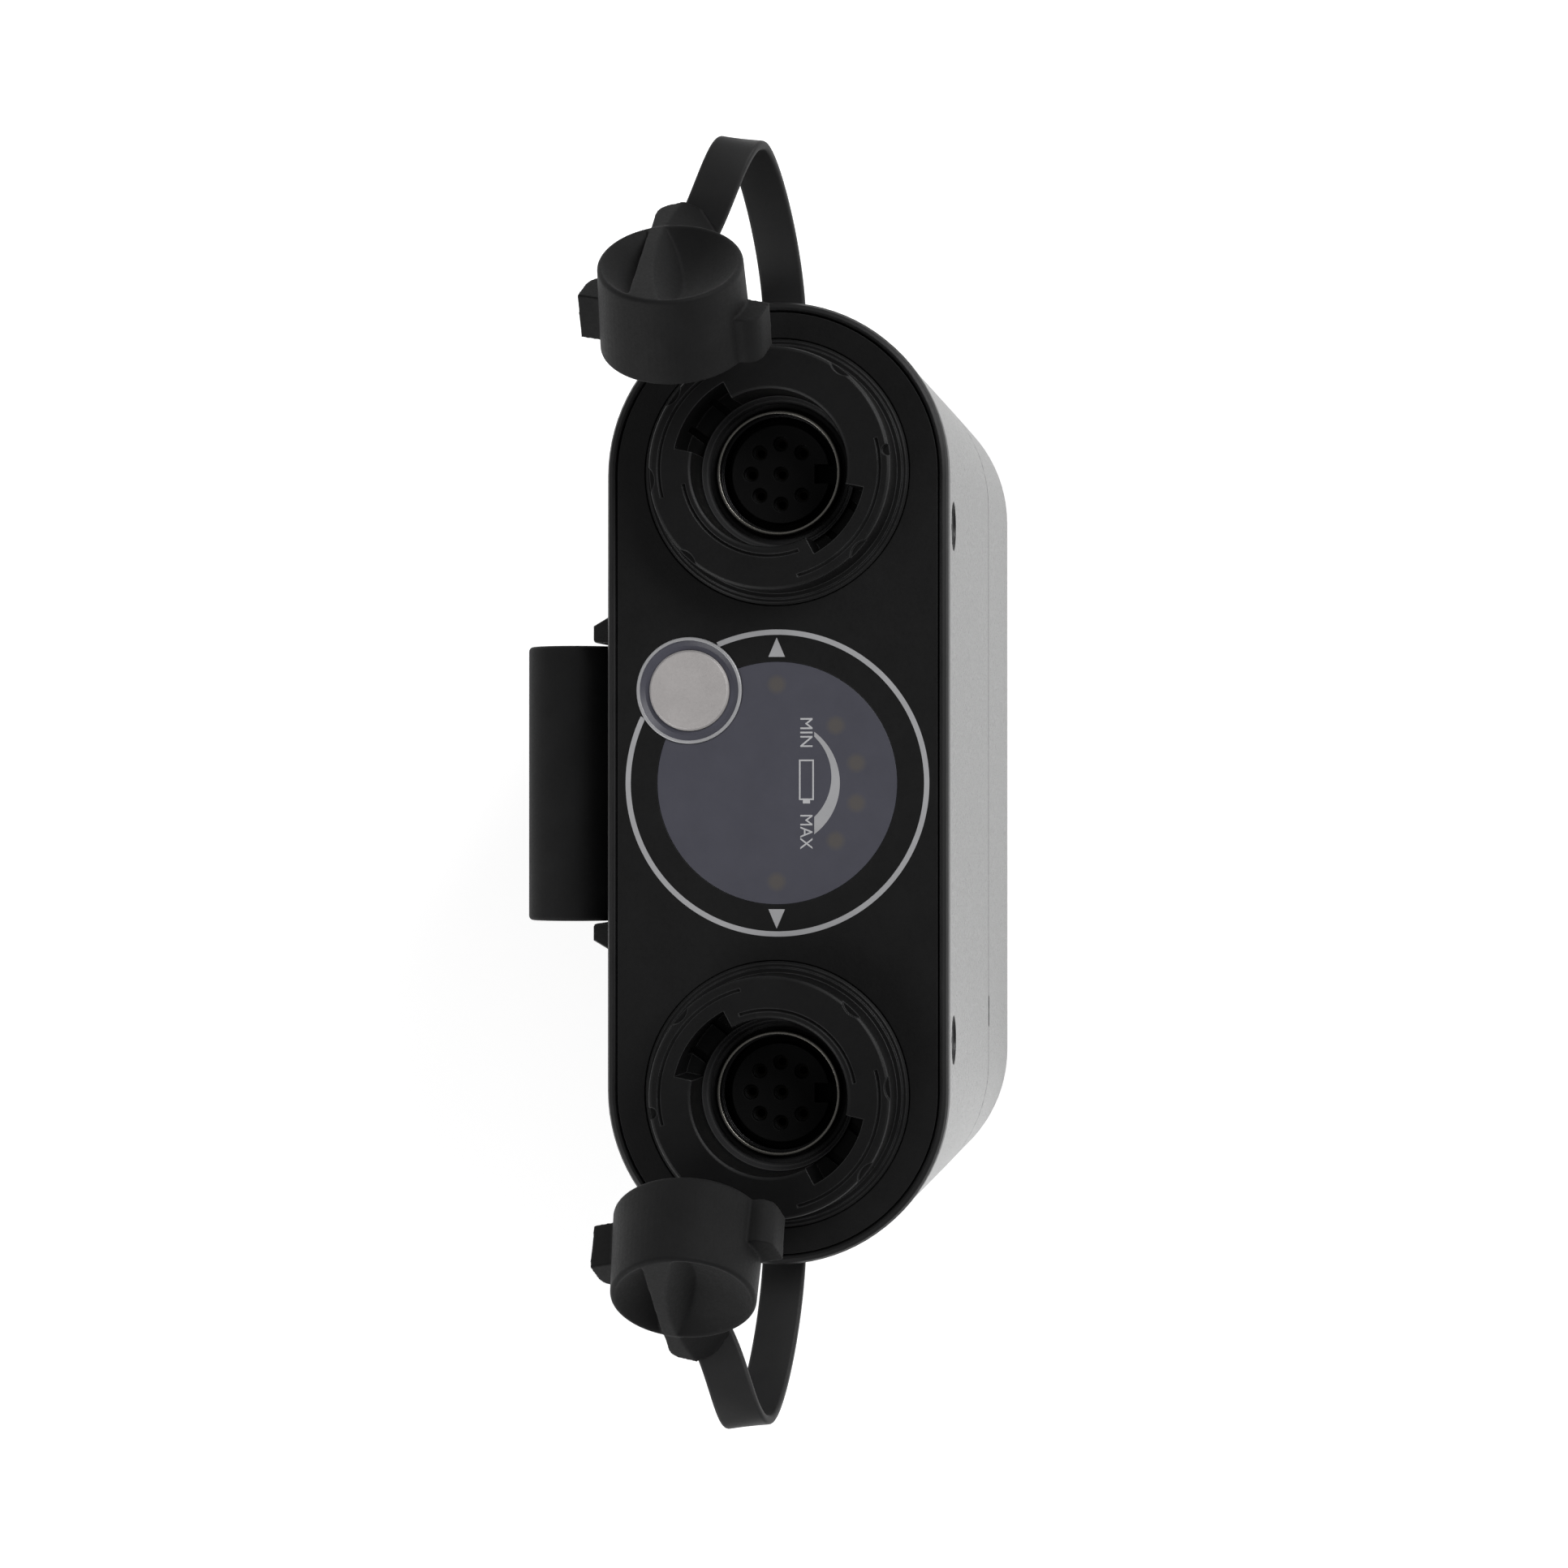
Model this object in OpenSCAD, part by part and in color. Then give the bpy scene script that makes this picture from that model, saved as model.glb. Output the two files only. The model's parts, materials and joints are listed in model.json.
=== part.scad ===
// Twin-outlet battery power pack for location flash heads.
// It stands on its base on z = 0, its long axis is X, the sockets face up and
// the belt clip is on the +Y side. All sizes are in millimetres.

/* [Body] */
// Half the distance between the centres of the two round ends
half_straight = 38.1; // [37.5:0.1:39]
// Radius of the round ends at the top frame
rim_r = 21.25; // [21:0.05:21.6]
// How far the top frame stands out past the housing
rim_step = 0.15; // [0.1:0.01:0.3]
// How much the round ends shrink from the top frame down to the foot
foot_taper = 1.8; // [1.6:0.05:2]
// Overall height of the case
body_h = 100; // [96:0.5:108]
// Height of the joint between the base cover and the upper housing
split_z = 37.5; // [36:0.5:39]
// Depth of the top frame's visible band
frame_h = 2.5; // [2.3:0.1:2.6]
// Wall thickness of the housing
wall_t = 1.9; // [1.85:0.01:1.95]
// Radius of the rounded bottom edge
foot_round = 3; // [2.6:0.1:3.2]
// Running gap round parts that move
running = 0.06; // [0.04:0.01:0.08]
// Gap round parts that are fitted and stay
fit = 0.1; // [0.05:0.01:0.12]

/* [Sockets] */
// How far each socket's axis lies outside the centre of its round end
socket_shift = 0.25; // [0:0.05:0.4]
// Outer radius of the socket collar's flange
flange_r = 16.4; // [16.2:0.05:16.5]
// Radius of the raised lip on the collar
lip_r = 14.9; // [14.7:0.05:15]
// Height of the raised lip above the case's top
lip_h = 6.5; // [6:0.1:7]
// Radius of the collar's throat
throat_r = 9.6; // [9.5:0.05:9.8]
// Reach of the two ear slots in the throat
ear_slot_r = 11.9; // [11.8:0.05:12.2]
// Angle across each ear slot
ear_slot_deg = 50; // [46:1:54]
// Outer radius of the metal contact shell
shell_r = 7.7; // [7.65:0.01:7.75]
// Radius of the insert that carries the contacts
insert_r = 6.1; // [5.8:0.05:6.3]
// Radius of the circle the outer contacts lie on
contact_ring_r = 3.75; // [3.6:0.05:3.9]

/* [Gauge and button] */
// Radius of the smoked gauge window
window_r = 15; // [14.7:0.05:15.1]
// Distance of the lamps from the middle of the gauge along X
end_lamp_x = 12.16; // [12:0.02:12.3]
// Radius of the arc the four middle lamps lie on
lamp_arc_r = 10.2; // [10:0.05:10.4]
// Position of the button along X
button_x = 11.45; // [11.3:0.05:11.6]
// Distance of the button's axis from the case's edge
button_edge = 10.3; // [10.25:0.05:10.5]
// Radius of the button cap
button_r = 5; // [4.95:0.01:5.1]
// Travel of the button
button_travel = 0.4; // [0.2:0.05:0.4]

/* [Caps and straps] */
// Outer radius of a socket cap at its open end
cap_r = 9.2; // [9.1:0.01:9.3]
// Length of a socket cap
cap_h = 11.5; // [11.2:0.1:11.8]
// Lean of the hanging cap away from upright
cap_tilt = 51; // [49:0.5:53]
// Width of the strap
strap_w = 5.4; // [5:0.1:5.6]
// Thickness of the strap
strap_t = 1.2; // [1:0.05:1.3]
// Depth below the case's top at which the strap leaves the housing
strap_drop = 7; // [6.8:0.1:7.4]

/* [Belt clip] */
// Width of the belt clip
clip_w = 34.6; // [33:0.1:34.8]
// Sheet thickness of the belt clip
clip_t = 1.4; // [1.2:0.05:1.5]
// Outer radius of the clip's bend
clip_bend_r = 6.1; // [5.8:0.05:6.3]
// Depth of the clip's crown below the case's top
clip_drop = 6; // [5:0.5:10]

/* [Battery] */
// Gap between neighbouring cells
cell_gap = 0.4; // [0.3:0.05:0.6]
// Gap between the cells and the wall at the foot
cell_wall_gap = 0.25; // [0.15:0.05:0.4]
// Height kept above the cells for the boards and the sockets
head_h = 30; // [28:0.5:34]

/* [Hidden] */
$fn = 96;
sides = [-1, 1];

// Radii of the case and places tied to its outline
shoulder_r = rim_r - rim_step;
foot_r = shoulder_r - foot_taper;
socket_x = half_straight + socket_shift;
button_y = rim_r - button_edge;

// Heights of the case's layers, from the top down
seam_z = body_h - frame_h;
plate_top = body_h - 0.2;
plate_t = 2;
plate_under = plate_top - plate_t;
ledge_t = 1;
ledge_under = plate_under - ledge_t;
skirt_z = body_h - 12;
skirt_r = shoulder_r - wall_t - 0.3;
skirt_t = 1.5;
skirt_in_r = skirt_r - skirt_t;
seal_t = 0.7;
seal_w = 0.8;
side_screw_x = half_straight - 6.1;
side_screw_z = body_h - 9;
side_screw_y = shoulder_r - 0.5;
floor_t = 2.5;
lap_h = 4.5;
lap_t = 0.9;
seam_gap = 0.15;
end_post_x = half_straight + foot_r - 6.8;
end_post_r = 3.3;
end_boss_r = 4.4;
end_boss_top = 7.8;
screw_r = 1.5;

// Heights inside a socket
collar_floor_z = body_h - 4.6;
ear_floor_z = body_h - 2.2;
collar_under_z = body_h - 10;
lip_top_z = body_h + lip_h;
flange_top_z = body_h + 0.1;
flange_under_z = body_h - 1;
barrel_r = ear_slot_r + 1.3;
shell_top_z = body_h - 1.6;
insert_top_z = body_h - 3.6;
socket_rear_z = body_h - 16;
tail_z = body_h - 20;
shell_in_r = shell_r - 0.35;
insert_base_r = shell_in_r - 0.25;
shell_seat_r = shell_r + 0.8;
contact_r = 0.7;
mouth_r = 0.95;
nut_r = barrel_r + 1.6;
nut_h = 2.5;
nut_z = plate_under - nut_h;
collar_turn = [0, 180];
ear_slot_dir = [53, 233];
contact_dirs = [90, 45, 135, 0, 180, -45, -135];
scallop_dirs = [-36, 53, 95, 137, -132];
rivet_dir = -82;

// Heights inside the gauge
board_t = 1.6;
gauge_board_top = body_h - 6.4;
lamp_dirs = [-104, -76, -46, -134];
baffle_r = window_r + 1.3;
gauge_board_x = socket_x - barrel_r - 1.75;
gauge_board_y = skirt_in_r - 0.8;
post_x = gauge_board_x - 1.8;
post_y = gauge_board_y - 2;
bezel_in_r = button_r + 1.2;
bezel_out_r = bezel_in_r + 0.4;
bezel_foot_r = bezel_out_r + 0.55;
plunger_z = gauge_board_top + 1.3;
plunger_r = 1.6;

// The block of cells, two staggered rows that fill the case
cell_z = floor_t + 2.5;
cell_h = body_h - head_h - cell_z;
cell_top = cell_z + cell_h;
block_r = wall_r(cell_z) - wall_t - cell_wall_gap;
cell_r = (block_r - cell_gap * sin(60) / 2) / (1 + sin(60));
cell_pitch = 2 * cell_r + cell_gap;
row_y = cell_pitch * sin(60) / 2;
row_count = 1 + floor(2 * half_straight / cell_pitch);
strip_t = 0.2;
holder_top_z = cell_top + 2.2;
power_board_z = holder_top_z + 1.5;
power_board_x = socket_x + shell_seat_r + 1.05;
power_board_w = 24;

// Radius of the drafted case wall at height z
function wall_r(z) = foot_r + (shoulder_r - foot_r) * z / seam_z;

// Unit direction at an angle in the XY plane
function dir(a) = [cos(a), sin(a)];

// ---- shapes that repeat ----

// Flat pill outline
module pill(r) {
    for (s = sides) translate([s * half_straight, 0]) circle(r = r);
    square([2 * half_straight, 2 * r], center = true);
}

// A profile drawn in (radius, height) carried once round the pill outline
module round_the_pill() {
    for (s = [0, 1]) rotate([0, 0, 180 * s]) {
        translate([half_straight, 0, 0]) rotate([0, 0, -90])
            rotate_extrude(angle = 180) children();
        translate([-half_straight, 0, 0]) rotate([90, 0, 90])
            linear_extrude(height = 2 * half_straight) children();
    }
}

// Ring with a rectangular section between two heights
module ring(r_out, r_in, z0, z1) {
    translate([0, 0, z0]) difference() {
        cylinder(r = r_out, h = z1 - z0);
        translate([0, 0, -1]) cylinder(r = r_in, h = z1 - z0 + 2);
    }
}

// Pie slice of an angle about a direction, for cutting slots
module slice(r, a, half_a) {
    reach = r / cos(half_a);
    polygon([[0, 0], reach * dir(a - half_a), r * dir(a), reach * dir(a + half_a)]);
}

// Cross slot of a screw head
module cross_slot(size, depth) {
    for (t = [0, 90]) rotate([0, 0, t])
        translate([-size / 2, -size / 8, -depth]) cube([size, size / 4, depth + 1]);
}

// Round-headed screw, head top at z = 0, shank pointing down
module screw(head_r, head_h, shank_r, shank_h) {
    difference() {
        union() {
            translate([0, 0, -head_h]) cylinder(r = head_r, h = head_h);
            translate([0, 0, -head_h - shank_h]) cylinder(r = shank_r, h = shank_h + 0.1);
        }
        cross_slot(1.2 * head_r, 0.5 * head_h);
    }
}

module at_socket(i) {
    translate([(i == 1 ? 1 : -1) * socket_x, 0, 0]) children();
}

// Place of a cell, counted along X with the two rows taken in turn
function cell_at(k) = [(k - row_count + 1) * cell_pitch / 2, (k % 2 == 0 ? 1 : -1) * row_y, 0];
last_cell = 2 * row_count - 2;

module at_cell() {
    for (k = [0:last_cell]) translate(cell_at(k)) children();
}

module at_end_posts() {
    for (s = sides) translate([s * end_post_x, 0, 0]) children();
}

module at_side_screws() {
    for (sy = [0, 1]) mirror([0, sy, 0]) for (sx = sides)
        translate([sx * side_screw_x, side_screw_y, side_screw_z]) rotate([-90, 0, 0]) children();
}

module at_clip_screws() {
    for (p = [[-10, 28], [10, 28], [0, 14]]) translate([p[0], 0, clip_top_z - p[1]])
        rotate([-90, 0, 0]) children();
}

// ---- case ----

clip_top_z = body_h - clip_drop;
rail_x = clip_w / 2 + 0.2;
rail_w = 3.4;
rail_y = rim_r + 2.35;
pad_y = rim_r + 0.05;
pad_z0 = clip_top_z - 38;
pad_z1 = clip_top_z - 3;
hold_rib_x = 14;
strap_z = body_h - strap_drop;
strap_foot_w = 8.6;
strap_foot_h = 4.2;

// Vertical rails that bracket the belt clip
module clip_rails() {
    for (s = [0, 1]) mirror([s, 0, 0]) translate([0, 0, split_z + 3])
        linear_extrude(height = seam_z - split_z - 4)
            polygon([[rail_x, wall_r(split_z) - 0.4], [rail_x, rail_y - 0.4],
                [rail_x + 0.12, rail_y - 0.12], [rail_x + 0.4, rail_y],
                [rail_x + rail_w - 1.3, rail_y], [rail_x + rail_w, rail_y - 2.2],
                [rail_x + rail_w, wall_r(split_z) - 0.4]]);
}

module housing_body() {
    lap_z = split_z + seam_gap;
    lap_top = split_z + lap_h + seal_t;
    lap_r = wall_r(split_z) - wall_t + lap_t + fit;
    groove_r = shoulder_r - (wall_t - seal_w) / 2;
    rib_y = wall_r(holder_top_z) - wall_t - 1.5;
    slot_h = strap_t + 2 * fit;
    slot_w = strap_w + 2 * fit;
    color("#26262a") difference() {
        union() {
            round_the_pill() polygon([
                [wall_r(lap_z), lap_z], [shoulder_r, seam_z],
                [groove_r, seam_z], [groove_r, seam_z - seal_t],
                [groove_r - seal_w, seam_z - seal_t], [groove_r - seal_w, seam_z],
                [shoulder_r - wall_t, seam_z], [wall_r(lap_top) - wall_t, lap_top],
                [lap_r, lap_top], [lap_r, lap_z]]);
            clip_rails();
            // Flat pad and inner boss that the clip is screwed to
            translate([-clip_w / 2 + 0.5, wall_r(split_z) - 0.3, pad_z0])
                cube([clip_w - 1, pad_y - wall_r(split_z) + 0.3, pad_z1 - pad_z0]);
            // Ribs that hold the cell block down
            for (sx = sides) for (sy = [0, 1]) mirror([0, sy, 0])
                translate([sx * hold_rib_x - 1, rib_y, holder_top_z]) cube([2, 2.4, 8]);
            // End posts for the base screws, each tied to the wall by a rib
            at_end_posts() {
                translate([0, 0, end_boss_top])
                    cylinder(r = end_post_r, h = lap_top + 10 - end_boss_top);
            }
            for (s = [0, 1]) mirror([s, 0, 0])
                translate([end_post_x, -1.5, lap_top + 0.3])
                    cube([half_straight + wall_r(lap_top) - 1 - end_post_x, 3, 9.7]);
        }
        at_end_posts() translate([0, 0, end_boss_top - 1]) cylinder(r = screw_r, h = 14);
        // Countersunk holes for the side screws
        at_side_screws() {
            cylinder(r = 3.1, h = 3);
            translate([0, 0, -1.4]) cylinder(r1 = 1.5, r2 = 2.9, h = 1.4);
            translate([0, 0, -4]) cylinder(r = screw_r + fit, h = 3);
        }
        // Slots that the cap straps pass through
        for (s = [0, 1]) mirror([s, 0, 0])
            translate([half_straight + skirt_in_r - 2, -slot_w / 2, strap_z - slot_h / 2])
                cube([8, slot_w, slot_h]);
        at_clip_screws() translate([0, 0, pad_y - 7.3]) cylinder(r = 1.25, h = 8);
        // Blind recess in the clip pad, which keeps the wall even
        translate([3 - clip_w / 2, pad_y - 0.6, pad_z0 - 1]) cube([clip_w - 6, 2, 7]);
    }
}

module base_cover() {
    lip_r = wall_r(split_z) - wall_t;
    top_z = split_z - seam_gap;
    notch_x = 7.1 - half_straight;
    color("#26262a") difference() {
        union() {
            round_the_pill() polygon(concat(
                [for (a = [0:15:90]) [foot_r - foot_round + foot_round * sin(a),
                    foot_round - foot_round * cos(a)]],
                [[wall_r(top_z), top_z], [lip_r + lap_t, top_z],
                    [lip_r + lap_t, split_z + lap_h], [lip_r, split_z + lap_h],
                    [lip_r, split_z - 6], [foot_r - wall_t, floor_t + 2],
                    [foot_r - wall_t - 1.5, floor_t], [foot_r - foot_round, floor_t]]));
            linear_extrude(height = floor_t) pill(foot_r - foot_round);
            at_end_posts() cylinder(r = end_boss_r, h = end_boss_top);
        }
        at_end_posts() {
            translate([0, 0, -1]) cylinder(r = 3.1, h = 5);
            cylinder(r = screw_r + fit, h = end_boss_top + 1);
        }
        // Prying notch at the joint
        translate([notch_x - 2.1, -wall_r(split_z) - 1, split_z - 1.1])
            cube([4.2, 1.8, 2]);
    }
}

module base_seal() {
    seal_in = wall_r(split_z) - wall_t;
    color("#1a1a1a") round_the_pill() polygon([
        [seal_in + 0.15, split_z + lap_h], [seal_in + lap_t, split_z + lap_h],
        [seal_in + lap_t, split_z + lap_h + seal_t],
        [seal_in + 0.15, split_z + lap_h + seal_t]]);
}

module top_frame() {
    in_r = skirt_in_r;
    color("#2c2c30") difference() {
        union() {
            round_the_pill() polygon([
                [in_r, skirt_z], [skirt_r, skirt_z], [skirt_r, seam_z], [rim_r, seam_z],
                [rim_r, body_h - 0.7], [rim_r - 0.25, body_h - 0.2], [rim_r - 0.7, body_h],
                [rim_r - 1, body_h - 0.08], [rim_r - 1.15, body_h - 0.4],
                [rim_r - 1.15, plate_under], [in_r - 1, plate_under],
                [in_r - 1, ledge_under], [in_r, ledge_under]]);
            // Bosses for the side screws
            at_side_screws() translate([0, 0, -side_screw_y + in_r - 1.8])
                cylinder(r = 3.4, h = skirt_t + 1);
        }
        at_side_screws() translate([0, 0, -8]) cylinder(r = screw_r, h = 9);
        // Windows for the feet of the cap straps
        for (s = [0, 1]) mirror([s, 0, 0])
            translate([half_straight + in_r - 2.4, -strap_foot_w / 2 - 0.7, skirt_z - 1])
                cube([6, strap_foot_w + 1.4, strap_z - skirt_z + strap_foot_h - 1.2]);
        // Room for the sockets, their nuts and the gauge, where these come close
        for (i = [1, 2]) at_socket(i) {
            translate([0, 0, collar_under_z - fit])
                cylinder(r = barrel_r + fit, h = plate_under - collar_under_z + 1);
            translate([0, 0, nut_z - fit]) cylinder(r = nut_r + fit, h = nut_h + fit);
        }
        translate([0, 0, gauge_board_top - board_t]) cylinder(r = baffle_r + fit, h = 8);
        at_button() translate([0, 0, ledge_under]) cylinder(r = bezel_foot_r + fit, h = 3);
    }
}

module top_seal() {
    out_r = shoulder_r - (wall_t - seal_w) / 2 - fit / 2;
    color("#1a1a1a") round_the_pill() polygon([
        [out_r - seal_w + fit, seam_z - seal_t], [out_r, seam_z - seal_t],
        [out_r, seam_z], [out_r - seal_w + fit, seam_z]]);
}

module side_screws() {
    color("#151515") at_side_screws() difference() {
        union() {
            translate([0, 0, -1.4]) cylinder(r1 = 1.5, r2 = 2.9, h = 1.4);
            translate([0, 0, -4]) cylinder(r = screw_r, h = 2.7);
        }
        cross_slot(3, 0.8);
    }
}

module base_screws() {
    color("#151515") at_end_posts() translate([0, 0, 4]) rotate([180, 0, 0])
        translate([0, 0, 2]) screw(2.8, 2, screw_r, 12);
}

module fascia_plate() {
    post_top = gauge_board_top;
    color("#1c1c1e") difference() {
        union() {
            translate([0, 0, plate_under]) linear_extrude(height = plate_t)
                pill(rim_r - 1.3);
            for (sx = sides) for (sy = sides)
                translate([sx * post_x, sy * post_y, post_top])
                    cylinder(r = 1.6, h = plate_under - post_top + 0.5);
        }
        for (i = [1, 2]) at_socket(i) {
            translate([0, 0, plate_under - 1]) cylinder(r = barrel_r + fit, h = plate_t + 2);
            translate([0, 0, flange_under_z]) cylinder(r = flange_r + 0.15, h = 2);
        }
        translate([0, 0, plate_under - 1]) cylinder(r = window_r, h = plate_t + 2);
        translate([button_x, button_y, plate_under - 1])
            cylinder(r = bezel_out_r + 0.05, h = plate_t + 2);
        for (sx = sides) for (sy = sides)
            translate([sx * post_x, sy * post_y, post_top - 1]) cylinder(r = 0.8, h = 4);
    }
}

// ---- sockets ----

// Arc-shaped cut in the lip, from one angle to another
module lip_arc(r_in, a0, a1) {
    rotate([0, 0, a0]) rotate_extrude(angle = a1 - a0)
        translate([r_in, lip_top_z - 0.35]) square([0.4, 1]);
}

module socket_collar(i) {
    color("#242427") at_socket(i) rotate([0, 0, collar_turn[i - 1]]) difference() {
        rotate_extrude() polygon([
            [shell_r, collar_under_z], [barrel_r, collar_under_z],
            [barrel_r, flange_under_z], [flange_r, flange_under_z],
            [flange_r, flange_top_z - 0.3], [flange_r - 0.3, flange_top_z],
            [flange_r - 0.7, flange_top_z], [flange_r - 0.8, flange_top_z + 0.35],
            [lip_r + 0.1, flange_top_z + 0.35], [lip_r, lip_top_z - 0.4],
            [lip_r - 0.12, lip_top_z - 0.12], [lip_r - 0.4, lip_top_z],
            [throat_r + 0.4, lip_top_z], [throat_r + 0.12, lip_top_z - 0.12],
            [throat_r, lip_top_z - 0.4], [throat_r, collar_floor_z], [shell_r, collar_floor_z]]);
        // Ear slots beside the throat
        for (a = ear_slot_dir) translate([0, 0, ear_floor_z]) intersection() {
            linear_extrude(height = lip_h + 5) slice(ear_slot_r + 6, a, ear_slot_deg / 2);
            cylinder(r = ear_slot_r, h = lip_h + 5);
        }
        // Notches in the lip's outer edge
        for (a = scallop_dirs) translate([(lip_r + 1.5) * cos(a), (lip_r + 1.5) * sin(a),
            lip_top_z - 0.8]) cylinder(r = 2.2, h = 2);
        translate([(lip_r - 0.2) * cos(rivet_dir), (lip_r - 0.2) * sin(rivet_dir),
            lip_top_z - 0.8]) cylinder(r = 0.7, h = 2);
        // Stepped edges on top of the lip
        lip_arc(lip_r - 1.5, 15, 105);
        lip_arc(lip_r - 1.5, 195, 285);
        lip_arc(throat_r + 0.9, 100, 200);
        // Slits beside the latch tab in each ear slot
        for (a = ear_slot_dir) rotate([0, 0, a]) for (s = sides)
            translate([throat_r - 0.5, s * 2.2 - 0.45, ear_floor_z - 1.5])
                cube([ear_slot_r + 1.3 - throat_r, 0.9, 1.5 + lip_h / 2]);
    }
}

module socket_shell(i) {
    color("#c9b27a") at_socket(i) rotate_extrude() polygon([
        [insert_base_r, socket_rear_z], [shell_seat_r, socket_rear_z],
        [shell_seat_r, collar_under_z],
        [shell_r, collar_under_z], [shell_r, shell_top_z - 0.1],
        [shell_r - 0.1, shell_top_z], [shell_in_r, shell_top_z],
        [shell_in_r, insert_top_z], [insert_base_r, insert_top_z]]);
}

module at_contacts() {
    children();
    for (a = contact_dirs) translate([contact_ring_r * cos(a), contact_ring_r * sin(a), 0])
        children();
}

module socket_insert(i) {
    color("#3a3a3c") at_socket(i) difference() {
        union() {
            translate([0, 0, socket_rear_z])
                cylinder(r = insert_base_r, h = insert_top_z - 3.5 - socket_rear_z);
            translate([0, 0, insert_top_z - 4]) cylinder(r = insert_r, h = 4);
        }
        at_contacts() {
            translate([0, 0, socket_rear_z - 1])
                cylinder(r = contact_r, h = insert_top_z - socket_rear_z + 2);
            translate([0, 0, insert_top_z - 1.2]) cylinder(r = mouth_r, h = 2);
        }
        // Key slot
        translate([-1.2, -insert_r - 1, insert_top_z - 3.5]) cube([2.4, insert_r - 3.25, 4]);
    }
}

module socket_contacts(i) {
    color("#c8a860") at_socket(i) at_contacts() translate([0, 0, tail_z]) difference() {
        cylinder(r = contact_r, h = insert_top_z - 1.6 - tail_z);
        translate([0, 0, insert_top_z - 5.6 - tail_z]) cylinder(r = 0.5, h = 5);
    }
}

// Stepped rubber ring on the throat's floor, which a plug or a cap presses on
module throat_seal(i) {
    seal_in = shell_r + 0.35;
    seal_out = throat_r - 0.05;
    color("#1a1a1a") at_socket(i) translate([0, 0, collar_floor_z]) rotate_extrude() polygon([
        [seal_in, 0], [seal_out, 0], [seal_out, 3.4], [seal_out - 0.15, 3.4],
        [seal_out - 0.45, 2.2], [seal_out - 0.6, 2.2], [seal_out - 0.9, 1.4],
        [seal_in + 0.2, 1.4], [seal_in, 1.2]]);
}

module socket_nut(i) {
    color("#9a9a9c") at_socket(i) difference() {
        ring(nut_r, barrel_r, nut_z, plate_under);
        for (a = [45:90:315]) rotate([0, 0, a])
            translate([nut_r - 0.9, -1.5, nut_z - 1]) cube([2, 3, nut_h + 2]);
    }
}

module socket_leads(i) {
    board_top = power_board_z + board_t;
    color("#8c2020") at_socket(i) at_contacts() translate([0, 0, board_top])
        cylinder(r = 0.6, h = tail_z - board_top);
}

// ---- gauge and button ----

module at_button() {
    translate([button_x, button_y, 0]) children();
}

module gauge_lens() {
    color("#464650") difference() {
        union() {
            translate([0, 0, ledge_under])
                cylinder(r = window_r - 0.05, h = plate_top - 0.05 - ledge_under);
            translate([0, 0, ledge_under]) cylinder(r = baffle_r, h = ledge_t);
        }
        at_button() {
            translate([0, 0, ledge_under - 1]) cylinder(r = bezel_foot_r + 0.05, h = 2);
            cylinder(r = bezel_out_r + 0.05, h = body_h + 5);
        }
    }
}

module at_lamps() {
    for (s = sides) translate([s * end_lamp_x, 0, 0]) children();
    for (a = lamp_dirs) translate([lamp_arc_r * cos(a), lamp_arc_r * sin(a), 0])
        children();
}

module lamp_baffle() {
    color("#8a8a92") difference() {
        translate([0, 0, gauge_board_top]) cylinder(r = baffle_r, h = ledge_under - gauge_board_top);
        at_lamps() translate([0, 0, gauge_board_top - 1]) cylinder(r = 1.1, h = 6);
        at_button() translate([0, 0, gauge_board_top - 1])
            cylinder(r = bezel_foot_r + fit, h = 6);
        // Pocket that keeps the moulding light
        translate([-4, -5, gauge_board_top - 1]) cube([8, 12, 2.6]);
    }
}

module gauge_lamps() {
    color("#d8c9a0") at_lamps() translate([0, 0, gauge_board_top]) cylinder(r = 1, h = 2.9);
}

module gauge_board() {
    color("#1d4a33") difference() {
        translate([-gauge_board_x, -gauge_board_y, gauge_board_top - board_t])
            cube([2 * gauge_board_x, 2 * gauge_board_y, board_t]);
        for (sx = sides) for (sy = sides)
            translate([sx * post_x, sy * post_y, gauge_board_top - board_t - 1])
                cylinder(r = 1, h = board_t + 2);
    }
}

module board_screws() {
    color("#b0b0b0") for (sx = sides) for (sy = sides)
        translate([sx * post_x, sy * post_y, gauge_board_top - board_t]) rotate([180, 0, 0])
            translate([0, 0, 1]) screw(1.7, 1, 0.8, board_t + 2.8);
}

module button_bezel() {
    color("#c4c6ca") at_button() rotate_extrude() polygon([
        [bezel_in_r, ledge_under], [bezel_foot_r, ledge_under], [bezel_foot_r, plate_under],
        [bezel_out_r, plate_under], [bezel_out_r, body_h - 0.1], [bezel_out_r - 0.1, body_h],
        [bezel_in_r, body_h]]);
}

module button_well() {
    hole_r = button_r + running;
    foot_in_r = button_r + 0.95;
    color("#30303a") at_button() rotate_extrude() polygon([
        [foot_in_r, ledge_under], [bezel_in_r, ledge_under], [bezel_in_r, body_h - 0.3],
        [hole_r + 0.5, body_h - 0.6], [hole_r, body_h - 0.6], [hole_r, plate_under + 0.1],
        [foot_in_r, plate_under + 0.1]]);
}

module button_cap() {
    color("#d0d2d6") at_button() rotate_extrude() polygon([
        [0, plate_under - 0.5], [button_r + 0.75, plate_under - 0.5],
        [button_r + 0.75, plate_under],
        [button_r, plate_under], [button_r, body_h - 0.3], [button_r - 0.25, body_h - 0.05],
        [0, body_h - 0.05]]);
}

module switch_plunger() {
    color("#8a3030") at_button() translate([0, 0, plunger_z])
        cylinder(r = plunger_r, h = plate_under - 0.5 - plunger_z);
}

module button_switch() {
    color("#3a3a3c") at_button() difference() {
        translate([-3, -3, gauge_board_top]) cube([6, 6, 2.7]);
        translate([0, 0, plunger_z - button_travel - fit])
            cylinder(r = plunger_r + running, h = 3);
    }
}

// ---- caps and straps ----

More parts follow.
